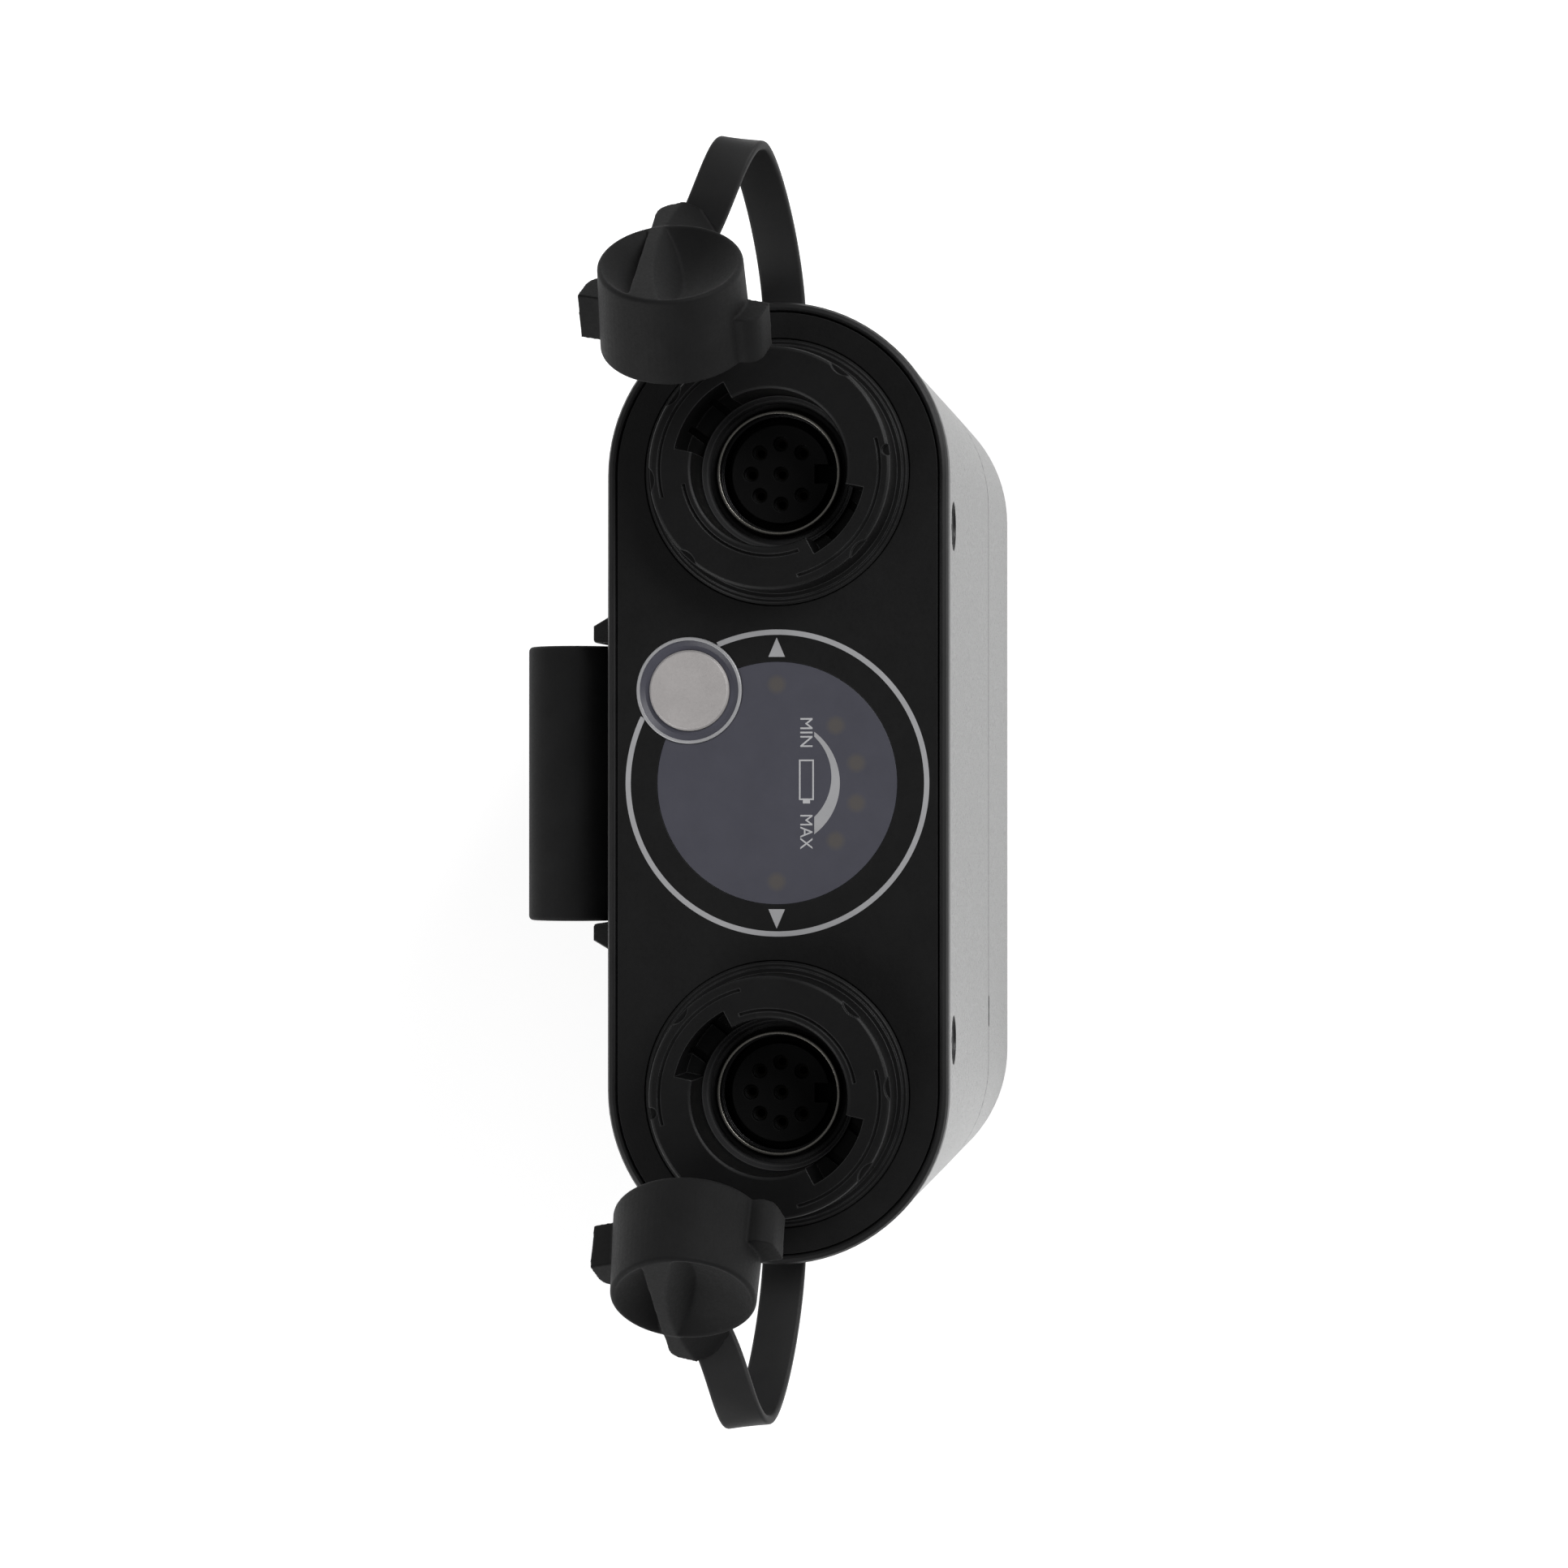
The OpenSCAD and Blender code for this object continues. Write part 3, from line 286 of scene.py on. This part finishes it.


# Colours given for the edges are painted edge highlights. Colours given below a height are painted
# light (collar) or painted shade (shell).
LOOKS = {
    "black_shell": surface("case_black", grey(0.010), grey(0.014), (0.22, 0.32),
                           grain=2600, grain_depth=0.02, grain_strength=0.35,
                           edge=0.3 * MM, painted_edge_highlight=grey(0.05)),
    "black_frame": surface("frame_black", grey(0.007), grey(0.0095), (0.4, 0.5),
                           grain=3200, grain_depth=0.02, grain_strength=0.35,
                           edge=0.2 * MM, specular=0.26, painted_edge_highlight=grey(0.03)),
    "black_fascia": surface("fascia_black", grey(0.0035), grey(0.0055), (0.5, 0.65),
                            grain=2400, grain_depth=0.035, grain_strength=0.6,
                            edge=0.15 * MM, specular=0.2, painted_edge_highlight=grey(0.02)),
    "seal": surface("seal_rubber", grey(0.010), grey(0.015), (0.5, 0.65),
                    grain=4000, grain_depth=0.01, edge=0.1 * MM, specular=0.3,
                    painted_edge_highlight=grey(0.06)),
    "screw_black": surface("screw_black", grey(0.006), grey(0.010), (0.35, 0.5),
                           grain=5000, grain_depth=0.01, metallic=0.3, edge=0.15 * MM),
    # Down in the socket the collar is painted lighter: painted light in the deep slots.
    "collar": surface("collar_black", grey(0.004), grey(0.006), (0.38, 0.48),
                      grain=4200, grain_depth=0.012, grain_strength=0.3, edge=0.2 * MM,
                      specular=0.22, painted_edge_highlight=grey(0.045),
                      painted_depth_shading=(TOP_Z - 2 * MM, TOP_Z - 7 * MM, grey(0.05))),
    # Below its top the shell is painted dark: painted shade inside the shell.
    "shell_metal": surface("shell_metal", (0.34, 0.33, 0.30), (0.40, 0.385, 0.35),
                           (0.24, 0.36), grain=6000, grain_depth=0.004,
                           grain_strength=0.2, metallic=1.0, edge=0.12 * MM,
                           painted_depth_shading=(SHELL_Z - 0.5 * MM, SHELL_Z - 0.7 * MM, grey(0.03))),
    "insert": surface("insert_grey", grey(0.0028), grey(0.004), (0.5, 0.65),
                      grain=5000, grain_depth=0.01, edge=0.15 * MM, specular=0.15,
                      painted_edge_highlight=grey(0.012)),
    # Contacts painted near black: painted shade down in their holes, not the metal's own colour.
    "contact_metal": surface("contact_metal", (0.012, 0.011, 0.009), (0.020, 0.018, 0.015),
                             (0.35, 0.5), grain=6000, grain_depth=0.004, metallic=1.0),
    "nut_metal": surface("nut_metal", grey(0.42), grey(0.5), (0.3, 0.42), metallic=1.0,
                         grain=3000, grain_depth=0.01),
    "lead": surface("lead_red", (0.22, 0.015, 0.012), (0.28, 0.02, 0.016), (0.45, 0.55)),
    "smoked_window": smoked_window(),
    "baffle": surface("baffle_grey", grey(0.20), grey(0.24), (0.5, 0.6)),
    "lamp": surface("lamp_resin", (0.7, 0.6, 0.34), (0.78, 0.68, 0.42), (0.2, 0.3)),
    "board": surface("board_green", (0.012, 0.06, 0.03), (0.018, 0.08, 0.04), (0.35, 0.45),
                     grain=1800, grain_depth=0.02),
    "screw_steel": surface("screw_steel", grey(0.35), grey(0.45), (0.3, 0.4), metallic=1.0,
                           edge=0.1 * MM),
    "bezel_metal": surface("bezel_metal", grey(0.42), grey(0.48), (0.4, 0.5),
                           metallic=0.5, grain=5000, grain_depth=0.004, edge=0.1 * MM),
    "button_well": surface("well_dark", (0.070, 0.070, 0.088), (0.080, 0.080, 0.102),
                           (0.32, 0.4), grain=5200, grain_depth=0.004,
                           grain_strength=0.15, specular=0.3),
    "button_metal": surface("button_metal", (0.44, 0.42, 0.415), (0.50, 0.478, 0.472), (0.5, 0.68),
                            metallic=0.5, grain=3600, grain_depth=0.02,
                            grain_strength=0.6, edge=0.15 * MM, painted_edge_highlight=grey(0.65)),
    "plunger": surface("plunger_red", (0.2, 0.02, 0.02), (0.25, 0.03, 0.03), (0.4, 0.5)),
    "switch": surface("switch_black", grey(0.01), grey(0.014), (0.4, 0.5)),
    "cap_rubber": surface("cap_rubber", grey(0.0055), grey(0.0085), (0.55, 0.68),
                          grain=3000, grain_depth=0.02, grain_strength=0.3, sheen=0.02,
                          edge=0.25 * MM, specular=0.14, painted_edge_highlight=grey(0.024)),
    "clip": surface("clip_black", grey(0.007), grey(0.010), (0.6, 0.7),
                    grain=2800, grain_depth=0.02, grain_strength=0.3, edge=0.2 * MM,
                    specular=0.12, painted_edge_highlight=grey(0.03)),
    "cell_wrap": surface("cell_wrap", (0.02, 0.16, 0.26), (0.03, 0.19, 0.3), (0.3, 0.4)),
    "holder": surface("holder_black", grey(0.012), grey(0.016), (0.5, 0.6)),
    "strip": surface("strip_nickel", grey(0.5), grey(0.58), (0.25, 0.35), metallic=1.0),
    "parts": surface("parts_black", grey(0.012), grey(0.018), (0.4, 0.5)),
    "ribbon": surface("ribbon_amber", (0.3, 0.14, 0.02), (0.36, 0.18, 0.03), (0.3, 0.4)),
}
PRINT_SILVER = surface("print_silver", grey(0.32), grey(0.37), (0.4, 0.5), grain=6000,
                       grain_depth=0.004)
PRINT_WHITE = surface("print_white", grey(0.42), grey(0.48), (0.45, 0.55), grain=6000,
                      grain_depth=0.004)
# Straps: the same rubber as the caps, painted lighter as a painted highlight along the straps.
STRAP_RUBBER_PAINTED_LIGHT = surface("strap_rubber_painted_light", grey(0.009), grey(0.013), (0.5, 0.62), grain=3000,
                       grain_strength=0.3, sheen=0.05, edge=0.15 * MM, specular=0.3,
                       painted_edge_highlight=grey(0.03))
# The seals down in the sockets are painted lighter than the other rubber: painted light against
# the shade down there
THROAT_RUBBER_PAINTED_LIGHT = surface("throat_rubber_painted_light", grey(0.026), grey(0.034), (0.5, 0.65), grain=4000,
                        grain_depth=0.01, edge=0.1 * MM, specular=0.3)


def dress_nodes():
    """Give each CAD node the look of its material slot."""
    for sub in frame["record"]["subparts"]:
        node = nodes[sub["node"]]
        in_socket = sub["node"].startswith("throat_seal")
        node.data.materials.clear()
        node.data.materials.append(THROAT_RUBBER_PAINTED_LIGHT if in_socket else LOOKS[sub["material_slot"]])


# ---- new meshes ----

def mesh_object(name, verts, faces, mat, smooth=False):
    mesh = bpy.data.meshes.new(name)
    mesh.from_pydata([tuple(v) for v in verts], [], faces)
    mesh.validate()
    mesh.materials.append(mat)
    obj = bpy.data.objects.new(name, mesh)
    bpy.context.scene.collection.objects.link(obj)
    if smooth:
        mesh.shade_smooth()
    return obj


def close_up(obj):
    """Point every face outwards and split the large flat ones."""
    bm = bmesh.new()
    bm.from_mesh(obj.data)
    bmesh.ops.recalc_face_normals(bm, faces=bm.faces)
    bmesh.ops.triangulate(bm, faces=[f for f in bm.faces if len(f.verts) > 4])
    bm.to_mesh(obj.data)
    bm.free()


def lay_print(obj):
    """A printed mark rides with the case."""
    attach(obj, "housing")


def flat_print(name, outline, z, mat):
    """Thin printed shape from one closed outline in the XY plane."""
    count = len(outline)
    verts = [Vector((x, y, z + h)) for h in (0, PRINT_T) for x, y in outline]
    faces = [list(range(count - 1, -1, -1)), list(range(count, 2 * count))]
    faces += [[i, (i + 1) % count, count + (i + 1) % count, count + i] for i in range(count)]
    obj = mesh_object(name, verts, faces, mat)
    close_up(obj)
    lay_print(obj)


def ring_print(name, r_out, r_in, z, mat):
    """Printed ring round the gauge that stops at the button's bezel."""
    reach = math.hypot(BUTTON.x, BUTTON.y)
    toward = math.atan2(BUTTON.y, BUTTON.x)
    mid = (r_out + r_in) / 2
    cosine = (mid * mid + reach * reach - BEZEL_R * BEZEL_R) / (2 * mid * reach)
    half_gap = math.acos(cosine) - 0.002
    steps = 180
    sweep = 2 * math.pi - 2 * half_gap
    angles = [toward + half_gap + sweep * k / steps for k in range(steps + 1)]
    outline = [(r_out * math.cos(a), r_out * math.sin(a)) for a in angles]
    outline += [(r_in * math.cos(a), r_in * math.sin(a)) for a in reversed(angles)]
    count = len(outline)
    half = steps + 1
    verts = [Vector((x, y, z + h)) for h in (0, PRINT_T) for x, y in outline]
    faces = []
    for k in range(steps):
        a, b, c, d = k, k + 1, count - 2 - k, count - 1 - k
        faces.append([count + a, count + d, count + c, count + b])
        faces.append([a, b, c, d])
        faces.append([a, count + a, count + b, b])
        faces.append([d, c, count + c, count + d])
    faces.append([0, count - 1, 2 * count - 1, count])
    faces.append([half - 1, count + half - 1, count + half, half])
    obj = mesh_object(name, verts, faces, mat)
    close_up(obj)
    lay_print(obj)


def crescent_print(z, mat):
    """Charge mark: thin at MIN, thick at MAX, between two circles set off along X."""
    r_out, r_in, shift = 7.85 * MM, 6.8 * MM, 0.77 * MM
    cut = -4.67 * MM
    outer, inner = [], []
    half_out = math.acos(-cut / r_out)
    half_in = math.acos(-cut / r_in)
    steps = 40
    for k in range(steps + 1):
        a = -math.pi / 2 - half_out + 2 * half_out * k / steps
        outer.append((r_out * math.cos(a), r_out * math.sin(a)))
        b = -math.pi / 2 - half_in + 2 * half_in * k / steps
        inner.append((shift + r_in * math.cos(b), r_in * math.sin(b)))
    verts, faces = [], []
    for h in (0, PRINT_T):
        verts += [Vector((x, y, z + h)) for x, y in outer + inner]
    n = steps + 1
    for k in range(steps):
        faces.append([2 * n + k, 2 * n + k + 1, 3 * n + k + 1, 3 * n + k])
        faces.append([k, n + k, n + k + 1, k + 1])
        faces.append([k, k + 1, 2 * n + k + 1, 2 * n + k])
        faces.append([n + k, 3 * n + k, 3 * n + k + 1, n + k + 1])
    faces.append([0, 2 * n, 3 * n, n])
    faces.append([n - 1, 2 * n - 1, 4 * n - 1, 3 * n - 1])
    obj = mesh_object("charge_crescent", verts, faces, mat)
    close_up(obj)
    lay_print(obj)


def word_print(name, word, x0, x1, z, mat):
    """A word that reads towards -X, with the tops of its letters towards -Y."""
    curve = bpy.data.curves.new(name, "FONT")
    curve.body = word
    curve.align_x = "CENTER"
    curve.align_y = "CENTER"
    curve.extrude = 0.01
    obj = bpy.data.objects.new(name + "_text", curve)
    bpy.context.scene.collection.objects.link(obj)
    bpy.context.view_layer.update()
    mesh = bpy.data.meshes.new_from_object(
        obj.evaluated_get(bpy.context.evaluated_depsgraph_get()))
    bpy.data.objects.remove(obj)
    lo = Vector([min(v.co[i] for v in mesh.vertices) for i in range(3)])
    hi = Vector([max(v.co[i] for v in mesh.vertices) for i in range(3)])
    length, height = abs(x1 - x0), 1.52 * MM
    centre = (lo + hi) / 2
    middle = Vector(((x0 + x1) / 2, -3.7 * MM, z + PRINT_T / 2))
    for v in mesh.vertices:
        p = v.co - centre
        along = p.x / (hi.x - lo.x) * length
        up = p.y / (hi.y - lo.y) * height
        v.co = middle + Vector((-along, -up, p.z / (hi.z - lo.z) * PRINT_T))
    mesh.materials.clear()
    mesh.materials.append(mat)
    made = bpy.data.objects.new(name, mesh)
    bpy.context.scene.collection.objects.link(made)
    lay_print(made)


def line_print(name, x0, y0, x1, y1, z, mat):
    """Printed bar between two opposite corners."""
    lo_x, hi_x = sorted((x0, x1))
    lo_y, hi_y = sorted((y0, y1))
    flat_print(name, [(lo_x, lo_y), (hi_x, lo_y), (hi_x, hi_y), (lo_x, hi_y)], z, mat)


def gauge_prints():
    """Ring and end marks on the face plate, charge marks on the window."""
    ring_print("gauge_ring", 18.93 * MM, 18.28 * MM, PLATE_Z, PRINT_SILVER)
    for s, name in ((1, "near"), (-1, "far")):
        tri = [(s * 15.55 * MM, -1.03 * MM), (s * 15.55 * MM, 1.03 * MM),
               (s * 17.95 * MM, 0.0)]
        flat_print("triangle_" + name, tri, PLATE_Z, PRINT_SILVER)
    crescent_print(LENS_Z, PRINT_SILVER)
    word_print("word_min", "MIN", 8.0 * MM, 4.44 * MM, LENS_Z, PRINT_WHITE)
    word_print("word_max", "MAX", -3.93 * MM, -8.16 * MM, LENS_Z, PRINT_WHITE)
    x0, x1 = -2.1 * MM, 2.89 * MM
    y0, y1 = -4.63 * MM, -2.77 * MM
    w = 0.2 * MM
    line_print("battery_side_1", x0, y0, x1, y0 + w, LENS_Z, PRINT_WHITE)
    line_print("battery_side_2", x0, y1 - w, x1, y1, LENS_Z, PRINT_WHITE)
    line_print("battery_end_1", x0, y0 + w, x0 + w, y1 - w, LENS_Z, PRINT_WHITE)
    line_print("battery_end_2", x1 - w, y0 + w, x1, y1 - w, LENS_Z, PRINT_WHITE)
    mid = (y0 + y1) / 2
    line_print("battery_nub", x0 - 0.42 * MM, mid - 0.45 * MM, x0, mid + 0.45 * MM,
               LENS_Z, PRINT_WHITE)


def soft_copy(name, node, body):
    """Moulded rubber: a copy of a CAD solid with every edge softened."""
    obj = bpy.data.objects.new(name, nodes[node].data.copy())
    bpy.context.scene.collection.objects.link(obj)
    weld = obj.modifiers.new("weld", "WELD")
    weld.merge_threshold = 0.002 * MM
    remesh = obj.modifiers.new("remesh", "REMESH")
    remesh.mode = "VOXEL"
    remesh.voxel_size = 0.15 * MM
    remesh.use_smooth_shade = True
    soften = obj.modifiers.new("soften", "SMOOTH")
    soften.factor = 0.5
    soften.iterations = 3
    bpy.context.view_layer.update()
    done = bpy.data.meshes.new_from_object(
        obj.evaluated_get(bpy.context.evaluated_depsgraph_get()))
    obj.modifiers.clear()
    obj.data = done
    done.name = name
    done.shade_smooth()
    done.materials.clear()
    done.materials.append(LOOKS["cap_rubber"])
    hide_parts(node)
    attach(obj, body)


def bezier(points, t):
    a, b, c, d = points
    return a * (1 - t) ** 3 + b * 3 * t * (1 - t) ** 2 + c * 3 * t * t * (1 - t) + d * t ** 3


def rounded_section(half_w, half_t, radius, steps=4):
    """Corners of a rectangle with round corners, once round."""
    points = []
    for quarter, (sx, sy) in enumerate(((1, 1), (-1, 1), (-1, -1), (1, -1))):
        for k in range(steps + 1):
            a = math.radians(90 * (quarter + k / steps))
            points.append((sx * (half_w - radius) + radius * math.cos(a),
                           sy * (half_t - radius) + radius * math.sin(a)))
    return points


def swept(name, rings, mat):
    """Closed solid through rings that all have the same number of corners."""
    count = len(rings[0])
    last = len(rings) - 1
    verts = [p for ring in rings for p in ring]
    faces = [list(range(count)), list(range(last * count, (last + 1) * count))[::-1]]
    for j in range(last):
        for k in range(count):
            n = (k + 1) % count
            faces.append([j * count + k, (j + 1) * count + k, (j + 1) * count + n,
                          j * count + n])
    obj = mesh_object(name, verts, faces, mat, smooth=True)
    close_up(obj)
    obj.data.set_sharp_from_angle(angle=math.radians(50))
    return obj


def strap_path(i):
    """Middle line of a strap: out of the wall, round the turn and back to the cap's tongue."""
    hinge = Vector(JOINTS[f"cap_{i}_swing"]["pos_m"])
    root = Vector((abs(hinge.x) - 2.4 * MM, 0, hinge.z))
    shift = Vector(((0, 0, 0), (-0.4, -1.6, 0))[i - 1]) * MM
    turn = root + Vector((21.4, 3.4, 10.8)) * MM + shift / 2
    on_cap = Vector((14.4, -1, 7.9)) * MM
    pose = Matrix.Rotation(math.radians(-3), 3, "Z") @ Matrix.Rotation(math.radians(51), 3, "Y")
    hub = root + Vector((-3.8, 10.35, 19.3)) * MM + shift + pose @ on_cap
    first = [root, root + Vector((9, 0, 0.1)) * MM, turn - Vector((0.4, 1, 4.2)) * MM, turn]
    second = [turn, turn + Vector((0.4, 1, 4.2)) * MM, hub + Vector((4.4, -2.4, 0.8)) * MM, hub]
    return lambda t: bezier(first, t) if t < 1 else bezier(second, t - 1)


def rubber_strap(i, side):
    """Flat rubber strap with rounded edges, one piece from the wall to the tongue."""
    path = strap_path(i)
    section = rounded_section(STRAP_W / 2, STRAP_T / 2, 0.42 * MM)
    rings = []
    steps = 96
    for k in range(steps + 1):
        t = 0.05 + 1.95 * k / steps
        at = path(t)
        along = (path(min(t + 0.01, 2)) - path(t - 0.01)).normalized()
        lean = Vector((-0.45 * (t / 2) ** 2, -1, 0)).normalized()
        across = (lean - lean.dot(along) * along).normalized()
        normal = along.cross(across)
        ring = [at + across * a + normal * b for a, b in section]
        rings.append([Vector((side * p.x, p.y, p.z)) for p in ring])
    obj = swept(f"rubber_strap_{i}", rings, STRAP_RUBBER_PAINTED_LIGHT)
    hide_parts(f"strap_{i}")
    turn, tip = path(1), path(2)
    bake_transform(obj)


def rubber_parts():
    for i, side in ((1, 1), (2, -1)):
        soft_copy(f"rubber_cap_{i}", f"cap_{i}", f"cap_body_{i}")
        rubber_strap(i, side)


def clip_path():
    """Middle line of the clip's sheet in (Y, Z), from the foot over the crown to the tip."""
    foot_lo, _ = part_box("clip_foot")
    arm_lo, arm_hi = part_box("clip_arm")
    half = CLIP_SHEET / 2
    knee_drop, tip_drop, lip_out = 24 * MM, 52 * MM, 3 * MM
    knee_ease, tip_ease = 7 * MM, 2.5 * MM
    bend_r = (arm_hi.y - foot_lo.y) / 2 - half
    centre = Vector((0, (arm_hi.y + foot_lo.y) / 2, arm_hi.z - half - bend_r))
    out_y = arm_hi.y - half
    tip_y = foot_lo.y + 2.6 * MM + half
    points = [Vector((0, foot_lo.y + half, foot_lo.z)),
              Vector((0, foot_lo.y + half, (foot_lo.z + centre.z) / 2))]
    for k in range(33):
        a = math.pi * (1 - k / 32)
        points.append(centre + Vector((0, math.cos(a), math.sin(a))) * bend_r)
    knee = Vector((0, out_y, arm_hi.z - knee_drop))
    tip = Vector((0, tip_y, arm_hi.z - tip_drop))
    end = Vector((0, tip_y + lip_out, arm_lo.z))
    for before, corner, after, reach in ((points[-1], knee, tip, knee_ease),
                                         (knee, tip, end, tip_ease)):
        start = corner + (before - corner).normalized() * reach
        stop = corner + (after - corner).normalized() * reach
        for k in range(9):
            t = k / 8
            points.append(start * (1 - t) ** 2 + corner * 2 * t * (1 - t) + stop * t * t)
    for k in range(1, 11):
        points.append(points[-1].lerp(end, 1 / (11 - k)))
    return points


def clip_sheet():
    """Belt clip as one bent sheet with eased edges and a rounded lower end."""
    points = clip_path()
    half_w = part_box("clip_arm")[1].x
    corner = 5 * MM
    rings = []
    for k, at in enumerate(points):
        along = (points[min(k + 1, len(points) - 1)] - points[max(k - 1, 0)]).normalized()
        normal = Vector((1, 0, 0)).cross(along)
        left = min((points[-1] - at).length, corner)
        inset = corner - math.sqrt(corner ** 2 - (corner - left) ** 2)
        if k < len(points) / 2:
            inset = 0
        section = rounded_section(half_w - inset, CLIP_SHEET / 2, 0.55 * MM)
        rings.append([at + Vector((a, 0, 0)) + normal * b for a, b in section])
    obj = swept("clip_sheet", rings, LOOKS["clip"])
    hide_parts("clip_foot", "clip_arm")
    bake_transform(obj)


# ---- stage ----

def camera():
    """Looks down on the socket face, tipped a little towards the plain front."""
    tip = math.radians(8.44)
    roll = math.radians(0.26)
    right = Vector((0, -math.cos(tip), -math.sin(tip)))
    up = Vector((math.cos(roll), -math.sin(tip) * math.sin(roll),
                 math.cos(tip) * math.sin(roll)))
    toward = right.cross(up)
    distance = 0.525
    width = 0.1932
    centre = Vector((0, 0, TOP_Z)) + right * 0.93 * MM - up * 0.12 * MM
    data = bpy.data.cameras.new("camera")
    data.sensor_width = 36
    data.lens = 36 * distance / width
    data.clip_start = 0.01
    data.clip_end = 20
    cam = bpy.data.objects.new("camera", data)
    turn = Matrix((right, up, toward)).transposed()
    cam.matrix_world = Matrix.Translation(centre + toward * distance) @ turn.to_4x4()
    bpy.context.scene.collection.objects.link(cam)
    bpy.context.scene.camera = cam


def seen_rays(tree):
    """1 for camera, glossy and transmission rays, 0 for the others."""
    path = tree.nodes.new("ShaderNodeLightPath")
    first = tree.nodes.new("ShaderNodeMath")
    first.operation = "MAXIMUM"
    second = tree.nodes.new("ShaderNodeMath")
    second.operation = "MAXIMUM"
    tree.links.new(path.outputs["Is Camera Ray"], first.inputs[0])
    tree.links.new(path.outputs["Is Glossy Ray"], first.inputs[1])
    tree.links.new(first.outputs[0], second.inputs[0])
    tree.links.new(path.outputs["Is Transmission Ray"], second.inputs[1])
    return second.outputs[0]


def floor_white():
    """White to the eye and in reflections, with the object's shadow on it."""
    mat = bpy.data.materials.new("floor_white")
    mat.use_nodes = True
    tree = mat.node_tree
    tree.nodes.clear()
    out = tree.nodes.new("ShaderNodeOutputMaterial")
    diffuse = tree.nodes.new("ShaderNodeBsdfDiffuse")
    diffuse.inputs["Color"].default_value = (0.86, 0.86, 0.86, 1)
    glow = tree.nodes.new("ShaderNodeEmission")
    add = tree.nodes.new("ShaderNodeAddShader")
    scale = tree.nodes.new("ShaderNodeMath")
    scale.operation = "MULTIPLY"
    scale.inputs[1].default_value = 0.56
    tree.links.new(seen_rays(tree), scale.inputs[0])
    tree.links.new(scale.outputs[0], glow.inputs["Strength"])
    tree.links.new(diffuse.outputs[0], add.inputs[0])
    tree.links.new(glow.outputs[0], add.inputs[1])
    tree.links.new(add.outputs[0], out.inputs["Surface"])
    return mat


def floor():
    size = 3.0
    corners = [(-size, -size, 0), (size, -size, 0), (size, size, 0), (-size, size, 0)]
    mesh_object("floor", corners, [[0, 1, 2, 3]], floor_white())


def area_light(name, place, target, size, power):
    data = bpy.data.lights.new(name, "AREA")
    data.shape = "RECTANGLE"
    data.size, data.size_y = size
    data.energy = power
    obj = bpy.data.objects.new(name, data)
    obj.location = place
    aim = Vector(target) - Vector(place)
    obj.rotation_mode = "QUATERNION"
    obj.rotation_quaternion = aim.to_track_quat("-Z", "Y")
    bpy.context.scene.collection.objects.link(obj)


def world():
    """White near the horizon, dimmer overhead, as between two side softboxes."""
    w = bpy.data.worlds.new("studio")
    bpy.context.scene.world = w
    w.use_nodes = True
    tree = w.node_tree
    tree.nodes.clear()
    out = tree.nodes.new("ShaderNodeOutputWorld")
    seen = tree.nodes.new("ShaderNodeBackground")
    lit = tree.nodes.new("ShaderNodeBackground")
    mix = tree.nodes.new("ShaderNodeMixShader")
    path = tree.nodes.new("ShaderNodeLightPath")
    coords = tree.nodes.new("ShaderNodeTexCoord")
    split = tree.nodes.new("ShaderNodeSeparateXYZ")
    tree.links.new(coords.outputs["Generated"], split.inputs[0])
    sky = ramp(tree, split.outputs["Z"], [(0.0, (0.8,) * 3), (0.35, (0.6,) * 3),
                                          (0.75, (0.22,) * 3), (1.0, (0.12,) * 3)])
    tree.links.new(sky, lit.inputs["Color"])
    lit.inputs["Strength"].default_value = 1.0
    seen.inputs["Color"].default_value = (1, 1, 1, 1)
    seen.inputs["Strength"].default_value = 1.0
    tree.links.new(path.outputs["Is Camera Ray"], mix.inputs["Fac"])
    tree.links.new(lit.outputs[0], mix.inputs[1])
    tree.links.new(seen.outputs[0], mix.inputs[2])
    tree.links.new(mix.outputs[0], out.inputs["Surface"])


def lights():
    """Two soft lamps, one on each long side."""
    area_light("key", (0.7, -0.9, 1.1), (0, 0, 0.08), (0.9, 0.7), 14)
    area_light("fill", (-0.9, 0.8, 0.9), (0, 0, 0.08), (0.9, 0.9), 9)


camera()
world()
lights()
floor()
dress_nodes()
gauge_prints()
rubber_parts()
clip_sheet()

bpy.context.scene.view_settings.view_transform = "Standard"
